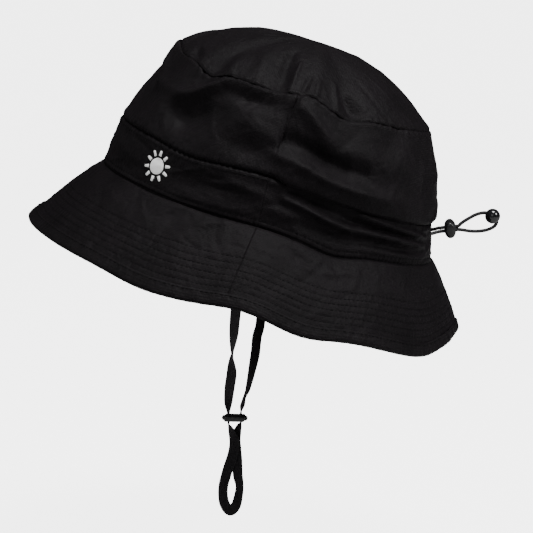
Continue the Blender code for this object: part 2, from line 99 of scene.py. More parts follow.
# ---- sizes of the cloth's detail ----------------------------------------------------------------------
CLOTH = 0.0006
SPACING = 0.0010                  # mesh spacing on the cloth
ALLOWANCE = 0.0013                # radius of the rolled edge inside a seam
HEM = 0.0070                      # from the brim's edge to its hem stitch
QUILT_PITCH = 0.0038
QUILT_ROWS = 6
THREAD = 0.00016                  # sewing thread radius
TIP_REACH = 0.0700                # from the tip's middle to its seam
BAND_STITCH = 0.0034              # from the head seam up to the stitches above it
TUCK_STITCH = 0.0026              # from the tuck seam down to the stitches below it
TIP_STITCH = 0.0022               # from the tip seam in to the stitches beside it
HOUSING_WINDOW = (-0.00145, 0.00145)
STEM_WINDOW = (-0.00145, 0.00255)


# ---- camera -------------------------------------------------------------------------------------------
CAMERA_AZIMUTH = radians(94.7)    # from the front, over the wearer's left
CAMERA_ELEVATION = radians(8.0)
CAMERA_DISTANCE = 1.14
CAMERA_AIM = Vector((0.0, -0.0011, -0.0335))
SENSOR = 36.0                     # sensor width and focal length, mm
LENS = 135.1


def camera():
    level = cos(CAMERA_ELEVATION)
    away = Vector((sin(CAMERA_AZIMUTH) * level, -cos(CAMERA_AZIMUTH) * level, sin(CAMERA_ELEVATION)))
    data = bpy.data.cameras.new("camera")
    data.sensor_width = SENSOR
    data.lens = LENS
    made = bpy.data.objects.new("camera", data)
    made.location = away * CAMERA_DISTANCE
    made.rotation_euler = (made.location - CAMERA_AIM).to_track_quat("Z", "Y").to_euler()
    bpy.context.scene.collection.objects.link(made)
    bpy.context.scene.camera = made


# ---- materials ----------------------------------------------------------------------------------------
class Nodes:
    """A small helper that adds and links the nodes of one material."""

    def __init__(self, name):
        self.material = bpy.data.materials.new(name)
        self.material.use_nodes = True
        self.tree = self.material.node_tree
        self.shader = self.tree.nodes["Principled BSDF"]

    def add(self, kind, inputs=None, **settings):
        node = self.tree.nodes.new(kind)
        for key, value in settings.items():
            setattr(node, key, value)
        for key, value in (inputs or {}).items():
            self.plug(value, node.inputs[key])
        return node

    def plug(self, value, socket):
        if isinstance(value, bpy.types.NodeSocket):
            self.tree.links.new(value, socket)
        else:
            socket.default_value = value

    def set(self, **values):
        for key, value in values.items():
            self.plug(value, self.shader.inputs[key.replace("_", " ")])

    def ramp(self, factor, low, high, start=0.0, end=1.0):
        node = self.add("ShaderNodeValToRGB", {"Fac": factor})
        node.color_ramp.elements[0].position = start
        node.color_ramp.elements[0].color = (*low, 1.0)
        node.color_ramp.elements[1].position = end
        node.color_ramp.elements[1].color = (*high, 1.0)
        return node.outputs["Color"]

    def math(self, operation, *values):
        node = self.add("ShaderNodeMath", operation=operation)
        for i, value in enumerate(values):
            self.plug(value, node.inputs[i])
        return node.outputs[0]

    def bump(self, height, strength, distance, normal=None):
        inputs = {"Height": height, "Strength": strength, "Distance": distance}
        if normal is not None:
            inputs["Normal"] = normal
        return self.add("ShaderNodeBump", inputs).outputs["Normal"]


def cloth_material(name, dark, light, sheen, roughness, pitch, bump=0.5):
    """Plain-weave cloth on UVs in metres: fine threads, slubs, crinkles and soft cloudy wear."""
    n = Nodes(name)
    uv = n.add("ShaderNodeUVMap", uv_map="UVMap").outputs["UV"]
    place = n.add("ShaderNodeTexCoord").outputs["Object"]
    bands = {"Vector": uv, "Scale": 1 / (pitch * tau), "Distortion": 0.6}
    warp = n.add("ShaderNodeTexWave", bands, wave_type="BANDS", bands_direction="X", wave_profile="SIN")
    weft = n.add("ShaderNodeTexWave", bands, wave_type="BANDS", bands_direction="Y", wave_profile="SIN")
    weave = n.math("MULTIPLY", warp.outputs["Fac"], weft.outputs["Fac"])
    slub = n.add("ShaderNodeTexNoise", {"Vector": uv, "Scale": 1100.0, "Detail": 4.0, "Roughness": 0.7})
    crinkle = n.add("ShaderNodeTexNoise", {"Vector": place, "Scale": 210.0, "Detail": 4.0, "Roughness": 0.6})
    cloud = n.add("ShaderNodeTexNoise", {"Vector": place, "Scale": 42.0, "Detail": 4.0, "Roughness": 0.6})
    mixed = n.math("MULTIPLY_ADD", slub.outputs["Fac"], 0.62, n.math("MULTIPLY", cloud.outputs["Fac"], 0.38))
    n.set(Base_Color=n.ramp(mixed, dark, light, 0.36, 0.66))
    fine = n.math("MULTIPLY_ADD", slub.outputs["Fac"], 0.22, roughness - 0.11)
    n.set(Roughness=fine, Specular_IOR_Level=0.12)
    n.set(Sheen_Weight=sheen, Sheen_Roughness=0.45, Sheen_Tint=(0.95, 0.82, 0.92, 1.0))
    coarse = n.bump(crinkle.outputs["Fac"], bump, 0.0020)
    height = n.math("MULTIPLY_ADD", slub.outputs["Fac"], 1.6, weave)
    n.set(Normal=n.bump(height, bump, 0.00022, coarse))
    return n.material


def plastic_material(name, colour, roughness, coat, grain):
    n = Nodes(name)
    place = n.add("ShaderNodeTexCoord").outputs["Object"]
    speck = n.add("ShaderNodeTexNoise", {"Vector": place, "Scale": 1800.0, "Detail": 2.0})
    smear = n.add("ShaderNodeTexNoise", {"Vector": place, "Scale": 160.0, "Detail": 3.0})
    worn = tuple(min(1.0, c * 1.9 + 0.004) for c in colour)
    n.set(Base_Color=n.ramp(smear.outputs["Fac"], colour, worn, 0.35, 0.75))
    n.set(Roughness=n.math("MULTIPLY_ADD", smear.outputs["Fac"], 0.16, roughness - 0.08))
    n.set(Coat_Weight=coat, Coat_Roughness=0.06)
    n.set(Normal=n.bump(speck.outputs["Fac"], grain, 0.00008))
    return n.material


def cord_material():
    """Braided elastic: two sets of yarns that cross on the cord, on UVs of turns and metres."""
    n = Nodes("braided_elastic")
    uv = n.add("ShaderNodeUVMap", uv_map="UVMap").outputs["UV"]
    parts = n.add("ShaderNodeSeparateXYZ", {"Vector": uv})
    around = n.math("MULTIPLY", parts.outputs["X"], 8 * pi)
    along = n.math("MULTIPLY", parts.outputs["Y"], tau / 0.0011)
    right = n.math("SINE", n.math("ADD", around, along))
    left = n.math("SINE", n.math("SUBTRACT", around, along))
    braid = n.math("MAXIMUM", right, left)
    factor = n.math("MULTIPLY_ADD", braid, 0.5, 0.5)
    n.set(Base_Color=n.ramp(factor, (0.004, 0.004, 0.005), (0.020, 0.019, 0.022), 0.2, 1.0))
    n.set(Roughness=0.55, Sheen_Weight=0.25, Sheen_Roughness=0.4)
    n.set(Normal=n.bump(factor, 0.9, 0.00014))
    return n.material


def thread_material(name, dark, light, bright=0.0):
    """Twisted sewing thread. The white thread glows a little, or it looks grey in the dim light."""
    n = Nodes(name)
    place = n.add("ShaderNodeTexCoord").outputs["Object"]
    inputs = {"Vector": place, "Scale": 900.0, "Distortion": 1.5}
    twist = n.add("ShaderNodeTexWave", inputs, bands_direction="DIAGONAL")
    n.set(Base_Color=n.ramp(twist.outputs["Fac"], dark, light, 0.1, 0.9))
    n.set(Roughness=0.8, Specular_IOR_Level=0.15, Emission_Color=(*light, 1.0), Emission_Strength=bright)
    n.set(Normal=n.bump(twist.outputs["Fac"], 0.5, 0.00006))
    return n.material


def steel_material():
    n = Nodes("spring_wire")
    place = n.add("ShaderNodeTexCoord").outputs["Object"]
    drawn = n.add("ShaderNodeTexNoise", {"Vector": place, "Scale": 3000.0, "Detail": 2.0})
    n.set(Base_Color=n.ramp(drawn.outputs["Fac"], (0.42, 0.42, 0.44), (0.68, 0.68, 0.70)))
    n.set(Metallic=1.0, Roughness=n.math("MULTIPLY_ADD", drawn.outputs["Fac"], 0.2, 0.2))
    return n.material


def floor_material():
    """Pale matt paper whose glow only the camera sees, so that it doesn't light the hat from below."""
    n = Nodes("pale_floor")
    seen = n.add("ShaderNodeLightPath").outputs["Is Camera Ray"]
    n.set(Base_Color=(0.55, 0.55, 0.55, 1.0), Roughness=0.9, Specular_IOR_Level=0.0)
    n.set(Emission_Color=(1.0, 1.0, 1.0, 1.0), Emission_Strength=n.math("MULTIPLY", seen, FLOOR_GLOW))
    return n.material


SHELL = cloth_material(
    "shell_cloth", (0.0026, 0.0020, 0.0025), (0.0100, 0.0076, 0.0094), 0.008, 0.58, 0.00045
)
INNER = cloth_material("inner_cloth", (0.0030, 0.0025, 0.0029), (0.0085, 0.0072, 0.0082), 0.01, 0.72, 0.00050)
BINDING = cloth_material(
    "binding_cloth", (0.0028, 0.0022, 0.0027), (0.0108, 0.0084, 0.0102), 0.008, 0.58, 0.00045
)
STIFFENER = cloth_material("interlining", (0.22, 0.22, 0.22), (0.34, 0.34, 0.34), 0.05, 0.90, 0.0008)
TAPE_CLOTH = cloth_material(
    "tape_weave", (0.0110, 0.0100, 0.0112), (0.0260, 0.0236, 0.0262), 0.10, 0.62, 0.00070, 0.6
)
LABEL = cloth_material("label_weave", (0.60, 0.60, 0.58), (0.78, 0.78, 0.76), 0.10, 0.75, 0.00040)
ELASTIC = cord_material()
BLACK_THREAD = thread_material("black_thread", (0.0015, 0.0013, 0.0015), (0.0035, 0.0030, 0.0035))
WHITE_THREAD = thread_material("white_thread", (0.78, 0.78, 0.77), (0.94, 0.94, 0.93), 0.35)
LOCK_PLASTIC = plastic_material("lock_plastic", (0.010, 0.010, 0.011), 0.34, 0.15, 0.25)
BEAD_PLASTIC = plastic_material("bead_plastic", (0.006, 0.006, 0.007), 0.14, 0.6, 0.05)
STEEL = steel_material()


# ---- numpy surfaces -----------------------------------------------------------------------------------
def smooth(low, high, value):
    t = np.clip((value - low) / (high - low), 0.0, 1.0)
    return t * t * (3 - 2 * t)


def wrapped(angle):
    return (angle + pi) % tau - pi


def seam(line, waves):
    half_length, half_width, height, front_rise, shift = line

    def at(angle):
        rise = height + front_rise * np.cos(angle)
        for centre, width, lift in waves:
            rise = rise + lift * np.exp(-((wrapped(angle - radians(centre)) / radians(width)) ** 2))
        return np.stack([half_width * np.sin(angle), shift - half_length * np.cos(angle), rise], -1)

    return at


head_seam = seam(HEAD_SEAM, HEAD_WAVES)
tuck_seam = seam(TUCK_SEAM, TUCK_WAVES)
tip_seam = seam(TIP_SEAM, TIP_WAVES)
brim_edge = seam(BRIM_EDGE, BRIM_WAVES)


def unit(vectors):
    return vectors / np.maximum(np.linalg.norm(vectors, axis=-1, keepdims=True), 1e-12)


def wall(lower, upper, bulge=0.0, back_bulge=0.0):
    """A surface between two seams as a function of angle, share and outward offset arrays."""

    def spot(angle, share):
        low, high = lower(angle), upper(angle)
        out = np.stack([np.sin(angle), -np.cos(angle), np.zeros_like(angle)], -1)
        swell = (bulge - back_bulge * np.cos(angle)) * 4 * share * (1 - share)
        return low + (high - low) * share[..., None] + out * swell[..., None]

    def at(angle, share, offset):
        step = 0.002
        along = spot(angle + step, share) - spot(angle - step, share)
        up = spot(angle, share + step) - spot(angle, share - step)
        return spot(angle, share) + unit(np.cross(along, up)) * offset[..., None]

    return at


band_wall = wall(head_seam, tuck_seam)
crown_wall = wall(tuck_seam, tip_seam, CROWN_BULGE, CROWN_BACK_BULGE)
brim_wall = wall(brim_edge, head_seam, BRIM_BULGE)


def tip_dome(angle, share, offset):
    rim = tip_seam(angle)
    middle = np.array([0.0, 0.0, TIP_SEAM[2]])
    swell = TIP_DOME * (1 - share**TIP_CURVE) * (1 - TIP_LEAN * np.cos(angle) * share)
    point = middle + (rim - middle) * share[..., None]
    point[..., 2] += swell
    slope = TIP_CURVE * TIP_DOME * share ** (TIP_CURVE - 1) / 0.068
    tilt = np.stack([np.sin(angle) * slope, -np.cos(angle) * slope, np.ones_like(angle)], -1)
    return point + unit(tilt) * offset[..., None]


def relief(folds, angle, share, reach, height):
    """Outward lift of folds that run from (angle, share) to (angle, share), with width and lift in mm."""
    total = np.zeros(np.broadcast(angle, share).shape)
    for first_angle, first_share, last_angle, last_share, width, lift in folds:
        ax, ay = wrapped(angle - radians(first_angle)) * reach, (share - first_share) * height
        dx, dy = radians(last_angle - first_angle) * reach, (last_share - first_share) * height
        along = np.clip((ax * dx + ay * dy) / (dx * dx + dy * dy + 1e-12), 0.0, 1.0)
        away = np.hypot(ax - dx * along, ay - dy * along) / (width * MM)
        total = total + lift * MM * np.exp(-(away**2)) * (0.55 + 0.45 * np.sin(pi * along))
    return total


def bell(away, width):
    """1 where away is nothing, falling smoothly to 0 over a few widths."""
    return np.exp(-((away / width) ** 2))


def ripple(angle, share, seed, waves, tall=1.0):
    """Soft irregular waves, from -1 to 1: a sum of sines whose directions come from a seeded list."""
    chance = np.random.default_rng(seed)
    total = np.zeros(np.broadcast(angle, share).shape)
    for _ in range(10):
        around = round(chance.uniform(0.5, 1.5) * waves)
        up = chance.uniform(-1.0, 1.0) * tall
        total = total + np.sin(around * angle + up * share * tau + chance.uniform(0, tau))
    return total / 10 * 1.6


# ---- mesh building ------------------------------------------------------------------------------------
def to_world(points):
    turn = np.array(Matrix.Rotation(-PITCH, 3, "X"))
    return points @ turn.T


def grid_faces(rows, columns, around):
    """Quads of a grid whose last column joins the first if it goes all the way around."""
    across = columns if around else columns - 1
    r, c = np.meshgrid(np.arange(rows - 1), np.arange(across), indexing="ij")
    n = (c + 1) % columns
    low, high = r * columns, (r + 1) * columns
    return np.stack([low + c, low + n, high + n, high + c], -1).reshape(-1, 4)


def piece(name, points, faces, material, uv=None):
    mesh = bpy.data.meshes.new(name)
    mesh.from_pydata(points.tolist(), [], [list(face) for face in faces])
    mesh.materials.append(material)
    mesh.shade_smooth()
    if uv is not None:
        layer = mesh.uv_layers.new(name="UVMap")
        loops = np.zeros(len(mesh.loops), np.int32)
        mesh.loops.foreach_get("vertex_index", loops)
        layer.data.foreach_set("uv", uv[loops].astype(np.float32).ravel())
    made = bpy.data.objects.new(name, mesh)
    bpy.context.scene.collection.objects.link(made)
    return made


def settle(made, body, slot, *nodes):
    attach(made, body)
    if nodes:
        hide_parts(*nodes)
    return made


def grid_normals(points, around):
    if around:
        along = np.roll(points, -1, 1) - np.roll(points, 1, 1)
    else:
        along = np.gradient(points, axis=1)
    return unit(np.cross(along, np.gradient(points, axis=0)))


def sheet(name, points, thickness, uv, material, around=False):
    """A closed piece of cloth: a grid of points, rows upward, and the same grid one thickness behind."""
    rows, columns = points.shape[:2]
    back = points - grid_normals(points, around) * thickness
    count = rows * columns
    front = grid_faces(rows, columns, around)
    faces = [front, front[:, ::-1] + count]
    across = columns if around else columns - 1
    c = np.arange(across)
    n = (c + 1) % columns
    top = (rows - 1) * columns
    faces.append(np.stack([c + count, n + count, n, c], -1))
    faces.append(np.stack([top + c, top + n, top + n + count, top + c + count], -1))
    if not around:
        r = np.arange(rows - 1)
        left, right = r * columns, r * columns + columns - 1
        faces.append(np.stack([left, left + columns, left + columns + count, left + count], -1))
        faces.append(np.stack([right + columns, right, right + count, right + columns + count], -1))
    everything = to_world(np.concatenate([points.reshape(-1, 3), back.reshape(-1, 3)]))
    flat = uv.reshape(-1, 2)
    return piece(name, everything, np.concatenate(faces), material, np.concatenate([flat, flat]))


def columns_between(start, end, reach, spacing=SPACING):
    count = max(8, round(radians(end - start) * reach / spacing))
    return np.radians(np.linspace(start, end, count + 1))


def smooth_path(points, spacing):
    """Points about a spacing apart on a smooth curve through the given rows of numbers."""
    points = [np.array(point, float) for point in points]
    ends = [2 * points[0] - points[1]] + points + [2 * points[-1] - points[-2]]
    path = []
    for before, here, there, after in zip(ends, ends[1:], ends[2:], ends[3:]):
        steps = max(1, round(np.linalg.norm((there - here)[:3]) / spacing))
        for i in range(steps):
            t = i / steps
            path.append(
                0.5 * (2 * here + (there - before) * t
                       + (2 * before - 5 * here + 4 * there - after) * t**2
                       + (3 * here - before - 3 * there + after) * t**3)
            )
    path.append(points[-1])
    return np.array(path)


def sweep(name, path, across, up, outline, material):
    """A closed solid whose outline of (across, up) pairs follows a path; UVs are turns and metres."""
    outline = np.array(outline)
    count = len(outline)
    rings = path[:, None] + across[:, None] * outline[None, :, :1] + up[:, None] * outline[None, :, 1:]
    length = np.concatenate([[0.0], np.cumsum(np.linalg.norm(np.diff(path, axis=0), axis=1))])
    edge = np.linalg.norm(np.diff(np.vstack([outline, outline[:1]]), axis=0), axis=1)
    turns = np.concatenate([[0.0], np.cumsum(edge)[:-1]])
    uv = np.stack(np.broadcast_arrays(turns[None, :], length[:, None]), -1).reshape(-1, 2)
    faces = [tuple(face) for face in grid_faces(len(path), count, True)]
    faces.append(tuple(range(count))[::-1])
    faces.append(tuple(range((len(path) - 1) * count, len(path) * count)))
    made = piece(name, rings.reshape(-1, 3), faces, material, uv)
    tidy_normals(made)
    return made


def tidy_normals(made):
    shape = bmesh.new()
    shape.from_mesh(made.data)
    bmesh.ops.recalc_face_normals(shape, faces=shape.faces)
    shape.to_mesh(made.data)
    shape.free()


def round_outline(radius, sides=12):
    return [(radius * cos(tau * i / sides), radius * sin(tau * i / sides)) for i in range(sides)]


def path_frames(path, facing=(1.0, 0.0, 0.0)):
    """Across and up directions along a path, turned as little as possible from one point to the next."""
    ahead = unit(np.gradient(path, axis=0))
    across = np.zeros_like(path)
    hint = np.array(facing)
    for i, direction in enumerate(ahead):
        hint = hint - direction * (hint @ direction)
        hint = hint / np.linalg.norm(hint)
        across[i] = hint
    return across, np.cross(ahead, across)


def stitches(name, places, normals, length, gap, radius, material, body, slot, sink=0.3):
    """A row of sewn stitches along a line: short bowed threads whose ends dip into the cloth."""
    step = np.concatenate([[0.0], np.cumsum(np.linalg.norm(np.diff(places, axis=0), axis=1))])
    count = int(step[-1] / (length + gap))
    share = np.array([-0.5, -0.38, -0.15, 0.15, 0.38, 0.5])
    lift = np.array([-1.0, 0.15, 0.62, 0.62, 0.15, -1.0]) * radius * (1 - sink)
    sides = 6
    turn = np.arange(sides) * tau / sides
    points, faces = [], []
    for k in range(count):
        middle = (k + 0.5) * (length + gap)
        along = np.clip(middle + share * length, 0.0, step[-1])
        spine = np.stack([np.interp(along, step, places[:, i]) for i in range(3)], -1)
        up = unit(np.stack([np.interp(along, step, normals[:, i]) for i in range(3)], -1))
        across = unit(np.cross(np.gradient(spine, axis=0), up))
        spine = spine + up * lift[:, None]
        ring = spine[:, None] + radius * (
            across[:, None] * np.cos(turn)[None, :, None] + up[:, None] * np.sin(turn)[None, :, None]
        )
        base = len(points) * len(share) * sides
        points.append(ring.reshape(-1, 3))
        faces += [tuple(face + base) for face in grid_faces(len(share), sides, True)]
        faces.append(tuple(base + i for i in range(sides))[::-1])
        faces.append(tuple(base + (len(share) - 1) * sides + i for i in range(sides)))
    made = piece(name, to_world(np.concatenate(points)), faces, material)
    tidy_normals(made)
    return settle(made, body, slot)


def sewn_row(name, surface, angles, share, offset, length=0.0019, gap=0.0007, radius=THREAD):
    """Stitches along a line of constant share on a surface."""
    share = np.full_like(angles, share) if np.isscalar(share) else share
    places = surface(angles, share)
    step = 0.002
    along = surface(angles + step, share) - surface(angles - step, share)
    up = surface(angles, share + step) - surface(angles, share - step)
    normals = unit(np.cross(along, up))
    raised = places + normals * offset
    return stitches(name, raised, normals, length, gap, radius, BLACK_THREAD, "hat", "thread")


# ---- how the cloth lies -------------------------------------------------------------------------------
# folds: from (angle, share) to (angle, share), then width and lift in mm; a lift below zero is a hollow
CROWN_FOLDS = (
    (2, 0.97, 24, 0.62, 4.0, 2.6), (-7, 0.95, 14, 0.60, 4.5, -2.0), (14, 0.20, 30, 0.42, 6.0, -1.4),
    (26, 0.60, 44, 0.60, 5.0, 1.8), (42, 0.60, 58, 0.93, 3.4, 3.2), (36, 0.36, 48, 0.16, 5.0, 1.4),
    (60, 0.58, 46, 0.36, 10.0, -7.0), (61, 0.84, 82, 0.83, 4.2, -3.4), (72, 0.30, 86, 0.20, 6.0, -2.2),
    (74, 0.60, 86, 0.44, 4.5, 1.6), (91, 0.90, 106, 0.66, 4.2, 3.0), (93, 0.46, 122, 0.40, 5.0, -5.4),
    (90, 0.26, 108, 0.19, 3.2, 2.8), (108, 0.18, 134, 0.15, 3.4, 3.2), (112, 0.62, 136, 0.54, 6.0, 1.2),
    (128, 0.66, 138, 0.88, 7.0, -1.6), (142, 0.24, 146, 0.80, 8.0, 1.4),
    (156, 0.20, 160, 0.60, 5.0, -1.3), (168, 0.35, 171, 0.85, 7.0, 1.1),
    (184, 0.25, 187, 0.80, 8.0, -1.3), (-30, 0.30, -48, 0.62, 8.0, -2.6),
    (-62, 0.72, -80, 0.36, 9.0, -4.0), (-98, 0.46, -124, 0.38, 6.0, -3.6),
    (-54, 0.86, -78, 0.84, 4.0, 2.0), (-92, 0.22, -130, 0.18, 5.0, 2.2),
    (-112, 0.66, -134, 0.60, 6.0, 1.5), (-146, 0.32, -150, 0.80, 8.0, 1.3),
    (-16, 0.30, -22, 0.80, 6.0, 1.2), (-162, 0.22, -166, 0.70, 6.0, -1.2),
)
BAND_FOLDS = (
    (97, 0.66, 120, 0.54, 2.0, 3.0), (120, 0.54, 160, 0.44, 2.1, 2.9), (124, 0.84, 138, 0.75, 1.8, 2.4),
    (138, 0.75, 163, 0.66, 1.8, 2.4), (118, 0.70, 152, 0.60, 1.6, -2.6), (99, 0.86, 122, 0.76, 3.2, -2.6),
    (104, 0.32, 133, 0.36, 2.8, -2.3), (133, 0.36, 152, 0.30, 2.6, -2.2), (90, 0.36, 102, 0.42, 3.0, 1.3),
    (128, 0.17, 160, 0.20, 2.6, 1.4), (158, 0.18, 170, 0.50, 1.8, 1.2), (160, 0.80, 171, 0.92, 1.6, 1.1),
    (56, 0.50, 78, 0.46, 7.0, -1.4), (18, 0.55, 38, 0.50, 5.0, 0.8), (78, 0.70, 92, 0.58, 3.0, 1.2),
    (64, 0.24, 88, 0.20, 3.0, 0.7), (30, 0.26, 44, 0.22, 3.5, -0.6), (-98, 0.62, -126, 0.50, 2.6, 2.5),
    (-126, 0.50, -162, 0.46, 2.6, 2.3), (-104, 0.34, -140, 0.34, 2.8, -2.2),
    (-118, 0.72, -156, 0.66, 2.2, -2.1), (-100, 0.86, -130, 0.84, 2.6, -1.8),
    (-50, 0.50, -80, 0.48, 7.0, -1.2),
)
BRIM_FOLDS = (
    (70, 0.60, 75, 0.90, 4.0, 0.9), (64, 0.55, 67, 0.88, 4.5, -0.9), (24, 0.92, 34, 0.58, 6.0, 0.6),
    (98, 0.20, 102, 0.70, 6.0, -0.9), (88, 0.15, 90, 0.60, 6.0, 0.8), (128, 0.15, 132, 0.80, 9.0, 0.8),
    (158, 0.15, 162, 0.70, 7.0, -0.8), (-40, 0.20, -44, 0.80, 8.0, -0.8),
    (-76, 0.20, -80, 0.70, 7.0, 0.9), (-112, 0.15, -118, 0.70, 8.0, -0.9),
    (48, 0.10, 52, 0.60, 8.0, -0.6), (-14, 0.30, 14, 0.30, 14.0, -1.3), (60, 0.74, 66, 0.92, 2.2, -0.9),
    (73, 0.84, 82, 0.96, 2.0, 0.8), (100, 0.86, 112, 0.80, 2.4, -1.0), (110, 0.76, 124, 0.84, 2.6, 0.9),
    (36, 0.80, 50, 0.70, 3.0, 0.5), (132, 0.70, 150, 0.62, 4.0, 0.8), (16, 0.72, 30, 0.66, 4.0, -0.5),
)
TIP_FOLDS = (
    (76, 0.60, 82, 0.98, 4.2, -3.0), (85, 0.70, 86, 0.99, 1.7, 2.0), (93, 0.82, 91, 1.00, 1.5, -1.8),
    (98, 0.84, 97, 1.00, 1.4, 1.5), (112, 0.84, 118, 0.97, 4.4, -3.8), (107, 0.78, 108, 0.98, 2.0, 1.8),
    (24, 0.92, 34, 0.97, 2.2, -2.2), (2, 0.80, 6, 1.00, 3.0, 1.6), (50, 0.76, 58, 0.98, 4.0, 1.8),
    (64, 0.70, 70, 0.96, 4.0, 1.2), (-60, 0.66, -70, 0.98, 6.0, -1.8),
    (-104, 0.80, -110, 0.98, 5.0, -2.0), (150, 0.70, 156, 0.96, 8.0, -0.8),
)


def small_folds(seed, count, angles, shares, turn, length, width, lift):
    """Little creases from a seed, in spans of angle and share; turn is share, length degrees, the rest mm."""
    chance = np.random.default_rng(seed)
    folds = []
    for _ in range(count):
        angle, share = chance.uniform(*angles), chance.uniform(*shares)
        reach, slant = chance.uniform(*length) / 2, chance.uniform(-turn, turn) / 2
        high = chance.uniform(0.5, 1.0) * lift * (1 if chance.random() < 0.5 else -1)
        ends = (angle - reach, share - slant, angle + reach, share + slant)
        folds.append((*ends, chance.uniform(*width), high))
    return tuple(folds)


CROWN_FOLDS += small_folds(101, 130, (-180, 180), (0.05, 0.95), 0.40, (3, 11), (1.0, 2.6), 0.55)
BAND_FOLDS += small_folds(102, 100, (-180, 180), (0.15, 0.90), 0.30, (3, 12), (0.8, 1.7), 0.45)
BRIM_FOLDS += small_folds(103, 190, (-180, 180), (0.12, 0.97), 0.35, (2, 8), (1.0, 2.8), 0.40)
TIP_FOLDS += small_folds(104, 90, (-180, 180), (0.20, 0.98), 0.25, (3, 12), (1.2, 3.0), 0.50)


def rear_weight(angle):
    """1 at the back, where the crown's foot folds out over the band, and 0 where it is gathered."""
    away = np.abs(wrapped(angle))
    return smooth(radians(90), radians(97), away)


def side_seam(angle, reach, depth, width=0.9):
    """The groove of the two side seams."""
    away = np.minimum(np.abs(wrapped(angle - pi / 2)), np.abs(wrapped(angle + pi / 2))) * reach / MM
    return -depth * MM * bell(away, width)


def puckers(angle, seed, pitch, reach):
    """Small gathers along a seam, from -1 to 1."""
    waves = tau * reach / pitch
    chance = np.random.default_rng(seed)
    wander = 0
    for k in range(3, 12):
        wander = wander + chance.uniform(0.5, 1.2) * np.sin(k * angle + chance.uniform(0, tau))
    strength = 0.65 + 0.35 * np.sin(7 * angle + chance.uniform(0, tau))
    return strength * np.sin(waves * angle + 1.8 * wander)


CROWN_HEIGHT, BAND_HEIGHT = 0.0475, 0.0270
HAT_REACH = 0.0840


def crown_offset(angle, share):
    height = share * CROWN_HEIGHT
    below_tip = (1 - share) * CROWN_HEIGHT
    lift = relief(CROWN_FOLDS, angle, share, HAT_REACH, CROWN_HEIGHT)
    lift = lift + 0.00045 * ripple(angle, share, 11, 9, 1.2) + 0.00022 * ripple(angle, share, 12, 26, 2.5)
    wander = 0.018 * np.sin(share * 7.0)
    lift = lift + side_seam(angle - wander, HAT_REACH, 1.7, 1.5) * smooth(0.25, 0.42, share)
    lift = lift + 0.0003 * bell(below_tip, 0.0030) - 0.0007 * bell(below_tip, 0.0007)
    gathers = puckers(angle, 21, 0.0042, HAT_REACH) + 0.6 * puckers(angle, 23, 0.0083, HAT_REACH)
    gathers = gathers * (1 - rear_weight(angle))
    lift = lift + 0.00085 * gathers * bell(height, 0.0034)
    tip_gathers = puckers(angle, 22, 0.0046, 0.070)
    return lift + 0.00034 * tip_gathers * bell(below_tip, 0.0034)


# the crown's foot, as (share, offset in mm) pairs: sewn down in a groove in front, a soft fold at the back
FRONT_FOOT = (
    (0.000, -1.3), (0.004, -0.8), (0.014, -0.2), (0.030, 0.20), (0.050, 0.35), (0.075, 0.38),
    (0.110, 0.30),
)
REAR_FOOT = (
    (0.050, -1.2), (0.014, -0.8), (-0.040, 0.5), (-0.050, 1.8), (-0.012, 2.9), (0.040, 3.1), (0.110, 2.5),
)


def hem_weight(angle):
    """How far the crown's foot stands out at the back: full beside the ear, less behind, and uneven."""
    away = np.degrees(np.abs(wrapped(angle)))
    return rear_weight(angle) * (1 - 0.45 * smooth(138, 165, away)) * (1 + 0.16 * ripple(angle, 0.0, 15, 16))


def crown_grid(start, end):
    angle = columns_between(start, end, HAT_REACH)[None, :]
    weight = hem_weight(angle)
    front, rear = np.array(FRONT_FOOT), np.array(REAR_FOOT)
    shares, offsets = [], []
    for (fs, fo), (rs, ro) in zip(front, rear):
        shares.append(fs + (rs - fs) * weight)
        offsets.append((fo + (ro - fo) * weight) * MM)
    rest = np.linspace(front[-1][0], 1.0, round(CROWN_HEIGHT * 0.9 / SPACING) + 1)[1:]
    for share in rest:
        fade = bell(share - front[-1][0], 0.16)
        shares.append(np.full_like(angle, share))
        offsets.append((front[-1][1] + (rear[-1][1] - front[-1][1]) * weight) * MM * fade)
    share = np.concatenate(shares)
    angle = np.broadcast_to(angle, share.shape)
    lift = crown_offset(angle, np.maximum(share, 0.0)) * smooth(-0.06, 0.10, share)
    points = crown_wall(angle, share, np.concatenate(offsets) + lift)
    uv = np.stack([angle * HAT_REACH, share * CROWN_HEIGHT], -1)
    return points, uv


def band_offset(angle, share):
    height, below = share * BAND_HEIGHT, (1 - share) * BAND_HEIGHT
    front = 1 - rear_weight(angle)
    lift = relief(BAND_FOLDS, angle, share, HAT_REACH, BAND_HEIGHT)
    lift = lift + 0.00022 * ripple(angle, share, 31, 12, 1.0)
    lift = lift * smooth(0.0, 0.14, share) * smooth(0.0, 0.10, 1 - share)
    gathers = puckers(angle, 32, 0.0033, HAT_REACH)
    lift = lift + 0.00065 * gathers * front * bell(below, 0.0034)
    lift = lift + 0.00034 * puckers(angle, 33, 0.0030, HAT_REACH) * bell(height - 0.0018, 0.0020)
    lift = lift - 0.00018 * bell(height - 0.0034, 0.0006)
    lift = lift + 0.0002 * bell(height, 0.0025) - 0.0012 * bell(height, 0.0006)
    return lift - (0.0014 + 0.0010 * (1 - front)) * bell(below, 0.0010)


def band_grid(start, end, first=0.0, last=1.0):
    angle = columns_between(start, end, HAT_REACH)[None, :]
    share = np.linspace(first, last, 40)[:, None]
    angle, share = np.broadcast_arrays(angle, share)
    points = band_wall(angle, share, band_offset(angle, share))
    return points, np.stack([angle * HAT_REACH, share * BAND_HEIGHT], -1)


BRIM_WIDTH = 0.0500
BRIM_REACH = 0.1080


